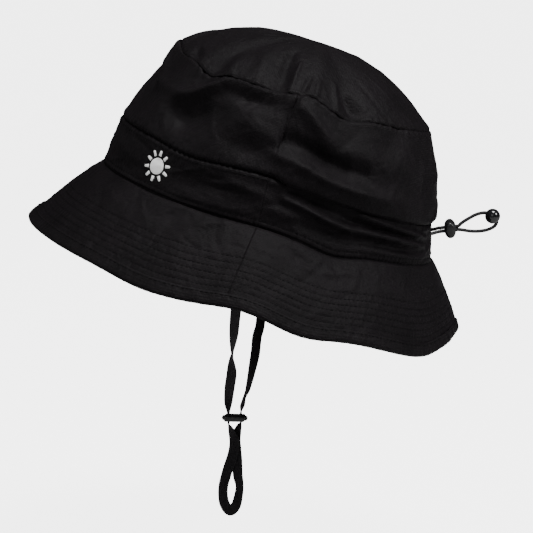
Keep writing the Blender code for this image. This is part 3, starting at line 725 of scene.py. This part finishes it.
def brim_offset(angle, share):
    inward = share * BRIM_WIDTH
    lift = relief(BRIM_FOLDS, angle, share, BRIM_REACH, BRIM_WIDTH)
    lift = lift + 0.00030 * ripple(angle, share, 41, 10, 0.6)
    rows = np.zeros_like(lift)
    for k in range(QUILT_ROWS):
        middle = HEM + (k + 1) * QUILT_PITCH
        dimple = 0.62 + 0.38 * np.sin(tau * BRIM_REACH * angle / 0.0026 + k)
        wander = 0.0002 * puckers(angle, 65 + k, 0.02, BRIM_REACH)
        groove = dimple * bell(inward - middle - wander, 0.00048)
        between = bell(inward - middle + QUILT_PITCH / 2, 0.0011)
        gathers = puckers(angle, 50 + k, 0.0031, BRIM_REACH)
        rows = rows - 0.00034 * groove + 0.00022 * gathers * between
    lift = lift + rows
    lift = lift + 0.00035 * puckers(angle, 60, 0.0150, BRIM_REACH) * smooth(0.75, 0.05, share) * 0.5
    seam_side = (1 - share) * BRIM_WIDTH
    return lift - 0.0007 * bell(seam_side, 0.0008)


def brim_grid(start, end, depth, first, last, rows):
    angle = columns_between(start, end, BRIM_REACH, 0.0009)[None, :]
    share = np.linspace(first, last, rows)[:, None]
    angle, share = np.broadcast_arrays(angle, share)
    points = brim_wall(angle, share, brim_offset(angle, share) - depth)
    return points, np.stack([angle * BRIM_REACH, share * BRIM_WIDTH], -1)


def tip_offset(angle, share):
    from_seam = (1 - share) * TIP_REACH
    lift = relief(TIP_FOLDS, angle, share, 0.066, TIP_REACH) * smooth(0.0, 0.35, share)
    lift = lift + 0.00045 * ripple(angle, share, 71, 5, 0.8) * share
    lift = lift + 0.0004 * bell(from_seam, 0.0030) - 0.0009 * bell(from_seam, 0.0007)
    return lift + 0.00038 * puckers(angle, 72, 0.0044, 0.068) * bell(from_seam, 0.0032)


def band_face(angle, share):
    return band_wall(angle, share, band_offset(angle, share))


def brim_face(angle, share):
    return brim_wall(angle, share, brim_offset(angle, share))


def tip_face(angle, share):
    return tip_dome(angle, share, tip_offset(angle, share))


# ---- cloth pieces -------------------------------------------------------------------------------------
HALVES = (("front", -90, 90), ("rear", 90, 270))


def crown():
    for half, start, end in HALVES:
        points, uv = crown_grid(start, end)
        made = sheet(f"crown_{half}_cloth", points, CLOTH, uv, SHELL)
        settle(made, "hat", "shell", f"crown_side_{half}")
    angle = np.linspace(0.0, tau, 400, endpoint=False)[None, :]
    share = np.concatenate([np.linspace(1.0, 0.86, 22), np.linspace(0.86, 0.01, 64)[1:]])[:, None]
    angle, share = np.broadcast_arrays(angle, share)
    points = tip_dome(angle, share, tip_offset(angle, share))
    uv = np.stack([points[..., 0], points[..., 1]], -1)
    made = sheet("crown_tip_cloth", points, CLOTH, uv, SHELL, around=True)
    close_middle(made, points.shape)
    settle(made, "hat", "shell", "crown_tip")


def close_middle(made, shape):
    """Closes the small hole at the tip's middle on both faces of the cloth."""
    build = bmesh.new()
    build.from_mesh(made.data)
    build.verts.ensure_lookup_table()
    rows, columns = shape[:2]
    top = (rows - 1) * columns
    rim = [build.verts[top + i] for i in range(columns)]
    back = [build.verts[rows * columns + top + i] for i in range(columns)]
    rims = (set(rim), set(back))
    walls = [f for f in build.faces if len(rims[0] & set(f.verts)) == 2 and rims[1] & set(f.verts)]
    bmesh.ops.delete(build, geom=walls, context="FACES_ONLY")
    for loop in (rim, back[::-1]):
        build.faces.new(loop).smooth = True
    build.to_mesh(made.data)
    build.free()


def band():
    for name, start, end in (
        ("band_front", -90, 90),
        ("band_rear_left", 90, 180 - CASING_END),
        ("band_rear_right", 180 + CASING_END, 270),
    ):
        points, uv = band_grid(start, end)
        settle(sheet(f"{name}_cloth", points, CLOTH, uv, SHELL), "hat", "shell", name)
    angle = columns_between(163, 197, HAT_REACH)[None, :]
    share = np.linspace(0.0, 1.0, 30)[:, None]
    angle, share = np.broadcast_arrays(angle, share)
    away = np.degrees(np.abs(angle - pi))
    depth = -0.0010 - 0.0028 * smooth(2.0, CASING_END - 0.6, away)
    depth = depth + 0.00035 * np.sin(angle * 90) * np.sin(pi * share)
    points = band_wall(angle, share, depth)
    uv = np.stack([angle * HAT_REACH, share * BAND_HEIGHT], -1)
    settle(sheet("back_facing_cloth", points, CLOTH, uv, SHELL), "hat", "inner", "band_rear_backing")


def inside():
    """The sweatband, a little gathered near its top, and the blank label."""
    angle = columns_between(-180, 180, HAT_REACH, 0.0015)[:-1][None, :]
    share = np.linspace(0.02, 0.93, 24)[:, None]
    angle, share = np.broadcast_arrays(angle, share)
    lift = -0.0046 + 0.00015 * ripple(angle, share, 81, 14, 1.0)
    lift = lift + 0.00012 * puckers(angle, 82, 0.004, HAT_REACH) * bell(share - 0.9, 0.08)
    points = band_wall(angle, share, lift)
    uv = np.stack([angle * HAT_REACH, share * BAND_HEIGHT], -1)
    made = sheet("sweatband_cloth", points, 0.0009, uv, INNER, around=True)
    settle(made, "hat", "inner", "sweatband")
    angle = columns_between(172, 188, HAT_REACH)[None, :]
    share = np.linspace(0.30, 0.86, 16)[:, None]
    angle, share = np.broadcast_arrays(angle, share)
    points = band_wall(angle, share, np.full(angle.shape, -0.0058))
    uv = np.stack([angle * HAT_REACH, share * BAND_HEIGHT], -1)
    settle(sheet("blank_label", points, 0.0003, uv, LABEL), "hat", "label", "care_label")


def brim():
    first = 0.02
    for half, start, end in HALVES:
        points, uv = brim_grid(start, end, 0.0, first, 1.0, 92)
        made = sheet(f"brim_top_{half}_cloth", points, CLOTH, uv, SHELL)
        settle(made, "hat", "shell", f"brim_top_{half}")
        points, uv = brim_grid(start, end, 0.0008, 0.10, 0.95, 50)
        made = sheet(f"brim_interlining_{half}_cloth", points, 0.0007, uv, STIFFENER)
        settle(made, "hat", "interlining", f"brim_interlining_{half}")
        points, uv = brim_grid(start, end, 0.0018, first, 0.985, 60)
        made = sheet(f"brim_under_{half}_cloth", points, CLOTH, uv, INNER)
        settle(made, "hat", "inner", f"brim_under_{half}")
    binding()


BINDING_LAP = (160.0, 166.0)      # degrees over which the strip's end overlaps its start


def binding():
    """The strip that wraps the brim's edge, from the hem stitch over the edge and back underneath."""
    angle = columns_between(-180, 180, 0.119, 0.0010)[:-1]
    hem = HEM / BRIM_WIDTH
    section = [
        (hem + 0.006, -0.05), (hem + 0.004, 0.55), (hem - 0.006, 0.80), (hem - 0.025, 0.70),
        (hem * 0.62, 0.78),
        (hem * 0.36, 0.78), (hem * 0.14, 0.72), (0.004, 0.45), (-0.006, -0.30), (-0.006, -1.60),
        (0.004, -2.45),
        (hem * 0.14, -2.75), (hem * 0.36, -2.85), (hem * 0.62, -2.85), (hem - 0.02, -2.80),
        (hem + 0.004, -2.70),
        (hem + 0.006, -2.20), (hem - 0.02, -2.05), (hem * 0.5, -2.05), (0.030, -1.90), (0.024, -1.20),
        (0.030, -0.10),
        (hem * 0.5, -0.05),
    ]
    share = np.array([row[0] for row in section])[:, None] + np.zeros((1, len(angle)))
    offset = np.array([row[1] for row in section])[:, None] * MM + np.zeros((1, len(angle)))
    turn = np.broadcast_to(angle[None, :], share.shape)
    waves = 0.00020 * puckers(turn, 91, 0.0042, 0.119) + 0.00010 * ripple(turn, share, 92, 60, 1.0)
    lap = smooth(BINDING_LAP[0], BINDING_LAP[0] + 0.6, np.degrees(turn))
    lap = lap * smooth(-BINDING_LAP[1], -BINDING_LAP[1] + 0.6, -np.degrees(turn))
    waves = waves + 0.0006 * lap * np.sign(offset + 0.0008)
    points = brim_wall(turn, share, brim_offset(turn, np.clip(share, 0.0, 1.0)) + offset + waves)
    count, around = share.shape
    uv = np.stack([turn * 0.119, np.cumsum(np.ones_like(share), 0) * 0.0009], -1).reshape(-1, 2)
    r, c = np.meshgrid(np.arange(count), np.arange(around), indexing="ij")
    n, up = (c + 1) % around, (r + 1) % count
    faces = np.stack([r * around + c, r * around + n, up * around + n, up * around + c], -1).reshape(-1, 4)
    made = piece("brim_binding_cloth", to_world(points.reshape(-1, 3)), faces, BINDING, uv)
    tidy_normals(made)
    settle(made, "hat", "binding", "brim_edge_binding")


def seams():
    """Every row of stitching that shows."""
    whole = np.radians(np.linspace(-180, 180, 1400))
    hem = np.full_like(whole, (HEM - 0.0008) / BRIM_WIDTH)
    sewn_row("hem_stitches", brim_face, whole, hem, 0.00082)
    for k in range(QUILT_ROWS):
        share = (HEM + (k + 1) * QUILT_PITCH) / BRIM_WIDTH
        sewn_row(f"quilt_stitches_{k + 1}", brim_face, whole, share, 0.00006)
    share = BAND_STITCH / BAND_HEIGHT
    sewn_row("band_foot_stitches", band_face,
             np.radians(np.linspace(-180 + CASING_END, 180 - CASING_END, 1200)), share, 0.00006)
    front = np.radians(np.linspace(-90, 92, 700))
    sewn_row("tuck_stitches", band_face, front, 1 - TUCK_STITCH / BAND_HEIGHT, 0.00006)
    sewn_row("tip_stitches", tip_face, -whole, 1 - TIP_STITCH / TIP_REACH, 0.00006)


def seam_allowances():
    """The rolled cloth edges inside the three round seams. The tip's still shows gaps from above."""
    angle = np.radians(np.linspace(-180, 180, 720))
    one, none = np.ones_like(angle), np.zeros_like(angle)
    for name, path in (
        ("tip_seam_allowance", tip_dome(angle, 0.985 * one, none - ALLOWANCE - 0.0016)),
        ("tuck_seam_allowance", band_wall(angle, one, none - ALLOWANCE - 0.0014)),
        ("head_seam_allowance", band_wall(angle, -0.035 * one, none - ALLOWANCE - 0.0004)),
    ):
        path = to_world(path)
        across, up = path_frames(path, (0.0, 0.0, 1.0))
        outline = [(1.5 * x, y) for x, y in round_outline(ALLOWANCE, 10)]
        settle(sweep(name, path, across, up, outline, INNER), "hat", "inner")


def emblem():
    """A plain rayed sun in raised satin stitch."""
    rays = 10
    reach, slant = 0.0900, 0.0270

    def spot(turn, radius, lift):
        angle = np.array(EMBLEM_ANGLE + radius * sin(turn) / reach)
        share = np.array(EMBLEM_RISE + radius * cos(turn) / slant)
        return band_wall(angle, share, band_offset(angle, share) + lift)

    points, faces = [], []

    def pad(outline, crown_height):
        """A padded shape: an outline of (turn, radius) pairs raised towards its middle line."""
        base = len(points)
        low = [spot(turn, radius, -0.0001) for turn, radius in outline]
        middle_turn = sum(t for t, _ in outline) / len(outline)
        middle_radius = sum(r for _, r in outline) / len(outline)
        high = []
        for turn, radius in outline:
            inner_turn = turn + (middle_turn - turn) * 0.35
            high.append(spot(inner_turn, radius + (middle_radius - radius) * 0.12, crown_height))
        points.extend(low + high)
        count = len(outline)
        for i in range(count):
            j = (i + 1) % count
            faces.append((base + i, base + j, base + count + j, base + count + i))
        faces.append(tuple(base + count + i for i in range(count)))
        faces.append(tuple(base + i for i in range(count))[::-1])

    for k in range(rays):
        turn = tau * k / rays
        half = 0.17
        inner, outer = EMBLEM_CORE + 0.0011, EMBLEM_RADIUS
        pad([(turn - half, inner), (turn + half, inner), (turn + half * 0.5, outer * 0.96), (turn, outer),
             (turn - half * 0.5, outer * 0.96)], 0.00050)
    base = len(points)
    sides, rings = 32, ((1.0, -0.0001), (0.97, 0.00030), (0.80, 0.00055), (0.45, 0.00066), (0.10, 0.00068))
    for scale, lift in rings:
        points.extend(spot(tau * i / sides, EMBLEM_CORE * scale, lift) for i in range(sides))
    for face in grid_faces(len(rings), sides, True):
        faces.append(tuple(int(v) + base for v in face))
    faces.append(tuple(base + i for i in range(sides)))
    faces.append(tuple(base + (len(rings) - 1) * sides + i for i in range(sides)))
    made = piece("emblem_embroidery", to_world(np.array(points)), faces, WHITE_THREAD)
    tidy_normals(made)
    settle(made, "hat", "thread", "emblem")


# ---- drawcord, lock and bead --------------------------------------------------------------------------
NECK_LEFT = (
    (0.0137, 0.0898, -0.0127), (0.0120, 0.0901, -0.0127), (0.0103, 0.0904, -0.0127),
    (0.0080, 0.0913, -0.0126),
    (0.0054, 0.0934, -0.0123), (0.0030, 0.0956, -0.0120), (0.0015, 0.0969, -0.0119),
    (0.0010, 0.0980, -0.0118),
)
NECK_RIGHT = (
    (-0.0137, 0.0898, -0.0127), (-0.0120, 0.0901, -0.0127), (-0.0103, 0.0904, -0.0126),
    (-0.0078, 0.0916, -0.0123),
    (-0.0048, 0.0938, -0.0115), (-0.0018, 0.0958, -0.0105), (0.0002, 0.0968, -0.0099),
    (0.0009, 0.0977, -0.0098),
)
LOOP_FAR = (
    (0.0010, 0.1095, -0.0069), (0.0010, 0.1132, -0.0044), (0.0010, 0.1177, -0.0019),
    (0.0010, 0.1222, -0.0008),
    (0.0010, 0.1257, -0.0015), (0.0010, 0.1286, -0.0036), (0.0010, 0.1294, -0.0060),
    (0.0010, 0.1281, -0.0084),
    (0.0010, 0.1247, -0.0103), (0.0010, 0.1201, -0.0113), (0.0010, 0.1150, -0.0114),
    (0.0010, 0.1105, -0.0108),
)


def strand(height, along):
    return tuple(LOCK_CENTRE + Matrix.Rotation(LOCK_PITCH, 3, "X") @ Vector((0.0, along, height)))


def drawcord():
    upper = [strand(STRAND_OFFSET, along) for along in (-0.0048, -0.002, 0.002, 0.0048)]
    lower = [strand(-STRAND_OFFSET, along) for along in (0.0048, 0.002, -0.002, -0.0048)]
    route = list(NECK_RIGHT) + upper + list(LOOP_FAR) + lower + list(NECK_LEFT)[::-1]
    path = smooth_path(route, 0.0005)
    across, up = path_frames(path, (0.0, 0.0, 1.0))
    made = sweep("drawcord", path, across, up, round_outline(CORD / 2, 14), ELASTIC)
    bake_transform(made)
    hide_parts("drawcord_loop", "drawcord_neck_left", "drawcord_neck_right")
    length = float(np.linalg.norm(np.diff(path, axis=0), axis=1).sum())
    return made, path, length


def cased_cord():
    """The cord's run in each casing, just under the band's cloth wherever its folds go."""
    for side, label in ((1, "left"), (-1, "right")):
        angle = np.radians(side * np.linspace(100, 180 - CASING_END - 3.0, 90))
        share = np.full_like(angle, CASING_RISE)
        depth = band_offset(angle, share) - CLOTH - CORD / 2 - 0.0002
        path = to_world(band_wall(angle, share, np.minimum(depth, -0.0017)))
        across, up = path_frames(path, (0.0, 0.0, 1.0))
        made = sweep(f"cased_cord_{label}", path, across, up, round_outline(CORD / 2, 10), ELASTIC)
        settle(made, "hat", "elastic", f"drawcord_channel_{label}")


def turned(name, profile, material, segments=48, section=(1.0, 1.0)):
    """A body turned about Z from (radius, height) pairs, bottom up, and stretched to an oval section."""
    points = []
    for radius, height in profile:
        for i in range(segments):
            turn = tau * i / segments
            points.append((section[0] * radius * cos(turn), section[1] * radius * sin(turn), height))
    faces = [tuple(int(v) for v in face) for face in grid_faces(len(profile), segments, True)]
    faces.append(tuple(range(segments))[::-1])
    faces.append(tuple(range((len(profile) - 1) * segments, len(profile) * segments)))
    made = piece(name, np.array(points), faces, material)
    tidy_normals(made)
    return made


def ball(radius, rings, smallest):
    """The profile of a ball, bottom up, with a least radius at its poles."""
    turns = [pi * i / rings for i in range(rings + 1)]
    return [(max(smallest, radius * sin(turn)), -radius * cos(turn)) for turn in turns]


def cut(target, tool, operation="DIFFERENCE"):
    """Cuts a tool's shape out of a target, or joins it on, and removes the tool."""
    change = target.modifiers.new("cut", "BOOLEAN")
    change.operation = operation
    change.object = tool
    bpy.context.view_layer.update()
    done = bpy.data.meshes.new_from_object(target.evaluated_get(bpy.context.evaluated_depsgraph_get()))
    target.modifiers.clear()
    target.data = done
    bpy.data.objects.remove(tool, do_unlink=True)
    done.shade_smooth()
    done.set_sharp_from_angle(angle=radians(40))


def window_cutter(low, high):
    """A bar with rounded sides that runs along Y, for the window that both strands share."""
    radius, half = (high - low) / 2, WINDOW_WIDTH / 2
    middle = (high + low) / 2
    outline = []
    for end, start in ((half - radius, -pi / 2), (-half + radius, pi / 2)):
        for a in np.linspace(start, start + pi, 9):
            outline.append((end + radius * cos(a), middle + radius * sin(a)))
    path = np.array([(0.0, -0.010, 0.0), (0.0, 0.010, 0.0)])
    across = np.array([(1.0, 0.0, 0.0)] * 2)
    up = np.array([(0.0, 0.0, 1.0)] * 2)
    return sweep("window_cutter", path, across, up, outline, LOCK_PLASTIC)


def cord_lock():
    """The oval barrel with a domed foot towards the wearer's left, and its sprung button behind."""
    turned_to = Matrix.Rotation(LOCK_PITCH, 4, "X") @ Matrix.Rotation(LOCK_ROLL, 4, "Y")
    place = Matrix.Translation(LOCK_CENTRE) @ turned_to
    housing = turned("lock_body", (
        (0.12, -0.00520), (0.45, -0.00515), (0.68, -0.00500), (0.84, -0.00470), (0.94, -0.00425),
        (0.99, -0.00370),
        (1.00, -0.00300), (1.00, 0.00120), (0.985, 0.00140), (0.985, 0.00155), (1.00, 0.00175),
        (0.99, 0.00210),
        (0.95, 0.00228), (0.90, 0.00230),
    ), LOCK_PLASTIC, 72, LOCK_SECTION)
    cut(housing, turned("lock_bore", ((1.0, -0.0044), (1.0, 0.0050)), LOCK_PLASTIC, 48, LOCK_BORE))
    cut(housing, window_cutter(*HOUSING_WINDOW))
    button = turned("lock_button", (
        (0.30, 0.00352), (0.90, 0.00350), (0.96, 0.00358), (0.99, 0.00380), (0.99, 0.00440),
        (0.96, 0.00470),
        (0.88, 0.00490), (0.70, 0.00500), (0.40, 0.00492), (0.12, 0.00488),
    ), LOCK_PLASTIC, 72, LOCK_SECTION)
    stem = turned("lock_stem", (
        (0.20, -0.0022), (0.94, -0.0022), (1.0, -0.0020), (1.0, 0.0040),
    ), LOCK_PLASTIC, 48, STEM_SECTION)
    cut(button, stem, "UNION")
    cut(button, window_cutter(*STEM_WINDOW))
    for made, body, node in (
        (housing, "cord_lock", "cord_lock_housing"), (button, "lock_plunger", "cord_lock_plunger"),
    ):
        made.data.transform(place)
        settle(made, body, "lock_plastic", node)
    return housing, button


def cord_bead(path):
    """The bead, with a rounded tunnel along the cord's way through it."""
    rings = 40
    profile = ball(BEAD_RADIUS, rings, 0.0003)
    bead = turned("bead", profile, BEAD_PLASTIC, 64)
    bead.data.transform(Matrix.Translation(BEAD_CENTRE))
    near = np.linalg.norm(path - np.array(BEAD_CENTRE), axis=1) < BEAD_RADIUS + 0.0012
    way = path[near]
    across, up = path_frames(way, (1.0, 0.0, 0.0))
    tunnel = sweep("bead_tunnel", way, across, up, round_outline(CORD / 2 + 0.00012, 20), BEAD_PLASTIC)
    cut(bead, tunnel)
    return settle(bead, "cord_loop", "bead_plastic", "cord_bead")


# ---- chin strap and slider ----------------------------------------------------------------------------
STRAP_ROUTE = (
    ((0.0744, -0.0076, 0.0010), 0), ((0.0744, -0.0082, -0.0050), 0), ((0.0715, -0.0092, -0.0140), 0),
    ((0.0620, -0.0112, -0.0270), 0), ((0.0490, -0.0135, -0.0445), 5), ((0.0400, -0.0155, -0.0585), 22),
    ((0.0341, -0.0166, -0.0679), 40), ((0.0274, -0.0178, -0.0781), 84), ((0.0227, -0.0187, -0.0852), 134),
    ((0.0172, -0.0197, -0.0936), 176), ((0.0104, -0.0214, -0.1020), 190), ((0.0020, -0.0229, -0.1110), 212),
    ((0.0000, -0.0232, -0.1155), 238), ((0.0000, -0.0232, -0.1195), 266), ((0.0000, -0.0232, -0.1229), 270),
    ((0.0000, -0.0231, -0.1265), 276), ((0.0006, -0.0217, -0.1300), 306), ((0.0012, -0.0200, -0.1350), 342),
    ((0.0012, -0.0199, -0.1400), 358), ((0.0010, -0.0212, -0.1460), 362), ((0.0006, -0.0232, -0.1520), 364),
    ((0.0003, -0.0248, -0.1575), 368), ((0.0001, -0.0264, -0.1640), 384), ((0.0000, -0.0266, -0.1700), 385),
    ((0.0000, -0.0256, -0.1750), 375), ((0.0000, -0.0226, -0.1790), 360), ((0.0000, -0.0192, -0.1758), 345),
    ((0.0000, -0.0176, -0.1700), 328), ((-0.0002, -0.0169, -0.1640), 324),
    ((-0.0006, -0.0180, -0.1570), 352),
    ((-0.0010, -0.0183, -0.1490), 360), ((-0.0012, -0.0189, -0.1418), 360),
    ((-0.0012, -0.0191, -0.1357), 342),
    ((-0.0006, -0.0176, -0.1300), 306), ((0.0000, -0.0160, -0.1265), 276),
    ((0.0000, -0.0160, -0.1229), 270),
    ((0.0000, -0.0160, -0.1192), 274), ((-0.0012, -0.0152, -0.1155), 300),
    ((-0.0036, -0.0145, -0.1122), 298),
    ((-0.0070, -0.0129, -0.1085), 306), ((-0.0106, -0.0119, -0.1040), 314),
    ((-0.0155, -0.0107, -0.0970), 326),
    ((-0.0205, -0.0094, -0.0887), 342), ((-0.0262, -0.0089, -0.0803), 348),
    ((-0.0310, -0.0074, -0.0734), 344),
    ((-0.0400, -0.0071, -0.0600), 350), ((-0.0510, -0.0074, -0.0430), 358),
    ((-0.0625, -0.0077, -0.0265), 360),
    ((-0.0715, -0.0078, -0.0140), 360), ((-0.0744, -0.0080, -0.0050), 360),
    ((-0.0744, -0.0076, 0.0010), 360),
)


def chin_strap():
    """One continuous woven tape with thicker selvedges; it twists as its face direction turns."""
    route = smooth_path([(*point, radians(face)) for point, face in STRAP_ROUTE], 0.0008)
    path, face = route[:, :3], route[:, 3]
    ahead = unit(np.gradient(path, axis=0))
    facing = np.stack([np.cos(face), np.sin(face), np.zeros_like(face)], -1)
    across = unit(np.cross(ahead, facing))
    up = unit(np.cross(across, ahead))
    w, t = TAPE_WIDTH / 2, TAPE_THICK / 2
    corners = ((0.0, 0.82), (0.45, 0.80), (0.78, 0.86), (0.90, 1.0), (0.97, 0.80), (1.0, 0.0))
    right = [(w * x, t * y) for x, y in corners]
    half = right + [(x, -y) for x, y in right[-2::-1]]
    outline = half + [(-x, y) for x, y in half[-2:0:-1]]
    made = sweep("chin_tape", path, across, up, outline, TAPE_CLOTH)
    settle(made, "chin_strap", "tape", "chin_strap")
    length = float(np.linalg.norm(np.diff(path, axis=0), axis=1).sum())
    return made, path, length


def rounded_bar(name, size, rounding, material):
    """A bar with rounded edges, made from a cube by a bevel that is applied."""
    shape = bmesh.new()
    bmesh.ops.create_cube(shape, size=1.0, matrix=Matrix.Diagonal((*size, 1.0)))
    bmesh.ops.bevel(
        shape, geom=shape.edges[:] + shape.verts[:], offset=rounding, segments=5, profile=0.5, affect="EDGES"
    )
    mesh = bpy.data.meshes.new(name)
    shape.to_mesh(mesh)
    shape.free()
    mesh.materials.append(material)
    made = bpy.data.objects.new(name, mesh)
    bpy.context.scene.collection.objects.link(made)
    return made


def chin_slider():
    """The slider: a rounded bar with two slots and a knob at each end."""
    bar = rounded_bar("strap_slider", SLIDER_SIZE, 0.0011, LOCK_PLASTIC)
    for side in (-1, 1):
        slot = rounded_bar("slot_cutter", (0.0072, 0.0023, 0.0080), 0.0006, LOCK_PLASTIC)
        slot.data.transform(Matrix.Translation((0.0, side * SLOT_OFFSET, 0.0)))
        cut(bar, slot)
    bar.data.transform(Matrix.Translation(SLIDER_CENTRE))
    knobs = turned("slider_knobs", ball(KNOB_RADIUS, 16, 0.0002), LOCK_PLASTIC, 24)
    knobs.data.transform(Matrix.Translation(SLIDER_CENTRE + Vector((0.0, SLIDER_SIZE[1] / 2, 0.0))))
    other = knobs.copy()
    other.data = knobs.data.copy()
    other.name = "slider_knob_front"
    other.data.transform(Matrix.Translation((0.0, -SLIDER_SIZE[1], 0.0)))
    bpy.context.scene.collection.objects.link(other)
    settle(bar, "chin_slider", "lock_plastic", "chin_slider")
    settle(knobs, "chin_slider", "lock_plastic")
    settle(other, "chin_slider", "lock_plastic")
    return bar, knobs, other


# ---- studio -------------------------------------------------------------------------------------------
AMBIENT = 0.025                   # light from all around
BACKDROP = 4.5                    # how bright the backdrop itself looks
FLOOR_GLOW = 4.5                  # the same for the floor
FLOOR_HEIGHT = -0.21
SOFTBOXES = (                     # name, place, width, power in watts
    ("overhead", (0.25, 0.30, 1.25), 0.5, 16.0),
    ("rear", (0.50, 1.30, 0.85), 0.45, 11.0),
    ("front", (0.25, -1.25, 0.85), 0.5, 4.5),
    ("side", (1.35, -0.10, 0.55), 0.8, 1.6),
)


def sky():
    """An even white surround: a faint light on the hat, and a brighter plain backdrop for the camera only."""
    world = bpy.data.worlds.new("studio")
    bpy.context.scene.world = world
    world.use_nodes = True
    tree = world.node_tree
    background = tree.nodes["Background"]
    seen = tree.nodes.new("ShaderNodeLightPath").outputs["Is Camera Ray"]
    strength = tree.nodes.new("ShaderNodeMath")
    strength.operation = "MULTIPLY_ADD"
    tree.links.new(seen, strength.inputs[0])
    strength.inputs[1].default_value = BACKDROP - AMBIENT
    strength.inputs[2].default_value = AMBIENT
    background.inputs["Color"].default_value = (1.0, 1.0, 1.0, 1.0)
    tree.links.new(strength.outputs[0], background.inputs["Strength"])


def studio():
    sky()
    mesh = bpy.data.meshes.new("floor")
    curve = [(-4.0 - 3.0 * sin(a), 3.0 - 3.0 * cos(a)) for a in np.radians(range(10, 91, 10))]
    line = [(9.0, 0.0), (-4.0, 0.0)] + curve
    line.append((-7.0, 9.0))
    points = [(x, y, FLOOR_HEIGHT + rise) for x, rise in line for y in (-14.0, 14.0)]
    faces = [(2 * i, 2 * i + 1, 2 * i + 3, 2 * i + 2) for i in range(len(line) - 1)]
    mesh.from_pydata(points, [], faces)
    mesh.materials.append(floor_material())
    mesh.shade_smooth()
    floor = bpy.data.objects.new("floor", mesh)
    bpy.context.scene.collection.objects.link(floor)
    for name, place, width, power in SOFTBOXES:
        data = bpy.data.lights.new(name, "AREA")
        data.size = width
        data.energy = power
        light = bpy.data.objects.new(name, data)
        light.location = place
        light.rotation_euler = Vector(place).to_track_quat("Z", "Y").to_euler()
        bpy.context.scene.collection.objects.link(light)


def unfolded(surface, start, end, first=0.0, last=1.0, offset=0.0):
    """Lengths around and up a panel and its area, with no folds in it, from the seam lines alone."""
    angle = np.radians(np.linspace(start, end, 361))[None, :]
    share = np.linspace(first, last, 41)[:, None]
    angle, share = np.broadcast_arrays(angle, share)
    points = surface(angle, share, np.full(angle.shape, offset))
    along = np.diff(points, axis=1)
    rise = np.diff(points, axis=0)
    area = np.linalg.norm(np.cross(along[:-1], rise[:, :-1]), axis=-1).sum()
    return np.linalg.norm(along, axis=-1).sum(1), np.linalg.norm(rise, axis=-1).sum(0), float(area)


def declare_panels():
    """Works out each panel's lengths and area, with no folds, from the smooth surfaces and not from its mesh,
    and keeps none of them.
    """
    for half, start, end in HALVES:
        around, up, area = unfolded(crown_wall, start, end)
        for layer, first, last in (("top", 0.02, 1.0), ("interlining", 0.10, 0.95), ("under", 0.02, 0.985)):
            around, up, area = unfolded(brim_wall, start, end, first, last)
    for name, start, end, first, last, offset in (
        ("band_front_cloth", -90, 90, 0.0, 1.0, 0.0),
        ("band_rear_left_cloth", 90, 180 - CASING_END, 0.0, 1.0, 0.0),
        ("band_rear_right_cloth", 180 + CASING_END, 270, 0.0, 1.0, 0.0),
        ("back_facing_cloth", 163, 197, 0.0, 1.0, -0.0026),
        ("sweatband_cloth", -180, 180, 0.02, 0.93, -0.0046),
        ("blank_label", 172, 188, 0.30, 0.86, -0.0058),
    ):
        around, up, area = unfolded(band_wall, start, end, first, last, offset)
    around, up, area = unfolded(tip_dome, 0, 360)
    around, up, area = unfolded(brim_wall, -180, 180)


# ---- build --------------------------------------------------------------------------------------------
camera()
cord, cord_path, cord_length = drawcord()
tape, tape_path, tape_length = chin_strap()
housing, button = cord_lock()
bead = cord_bead(cord_path)
slider_parts = chin_slider()
crown()
band()
inside()
brim()
seams()
seam_allowances()
emblem()

cased_cord()
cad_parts["cord_lock_spring"].data.materials[0] = STEEL

declare_panels()
studio()
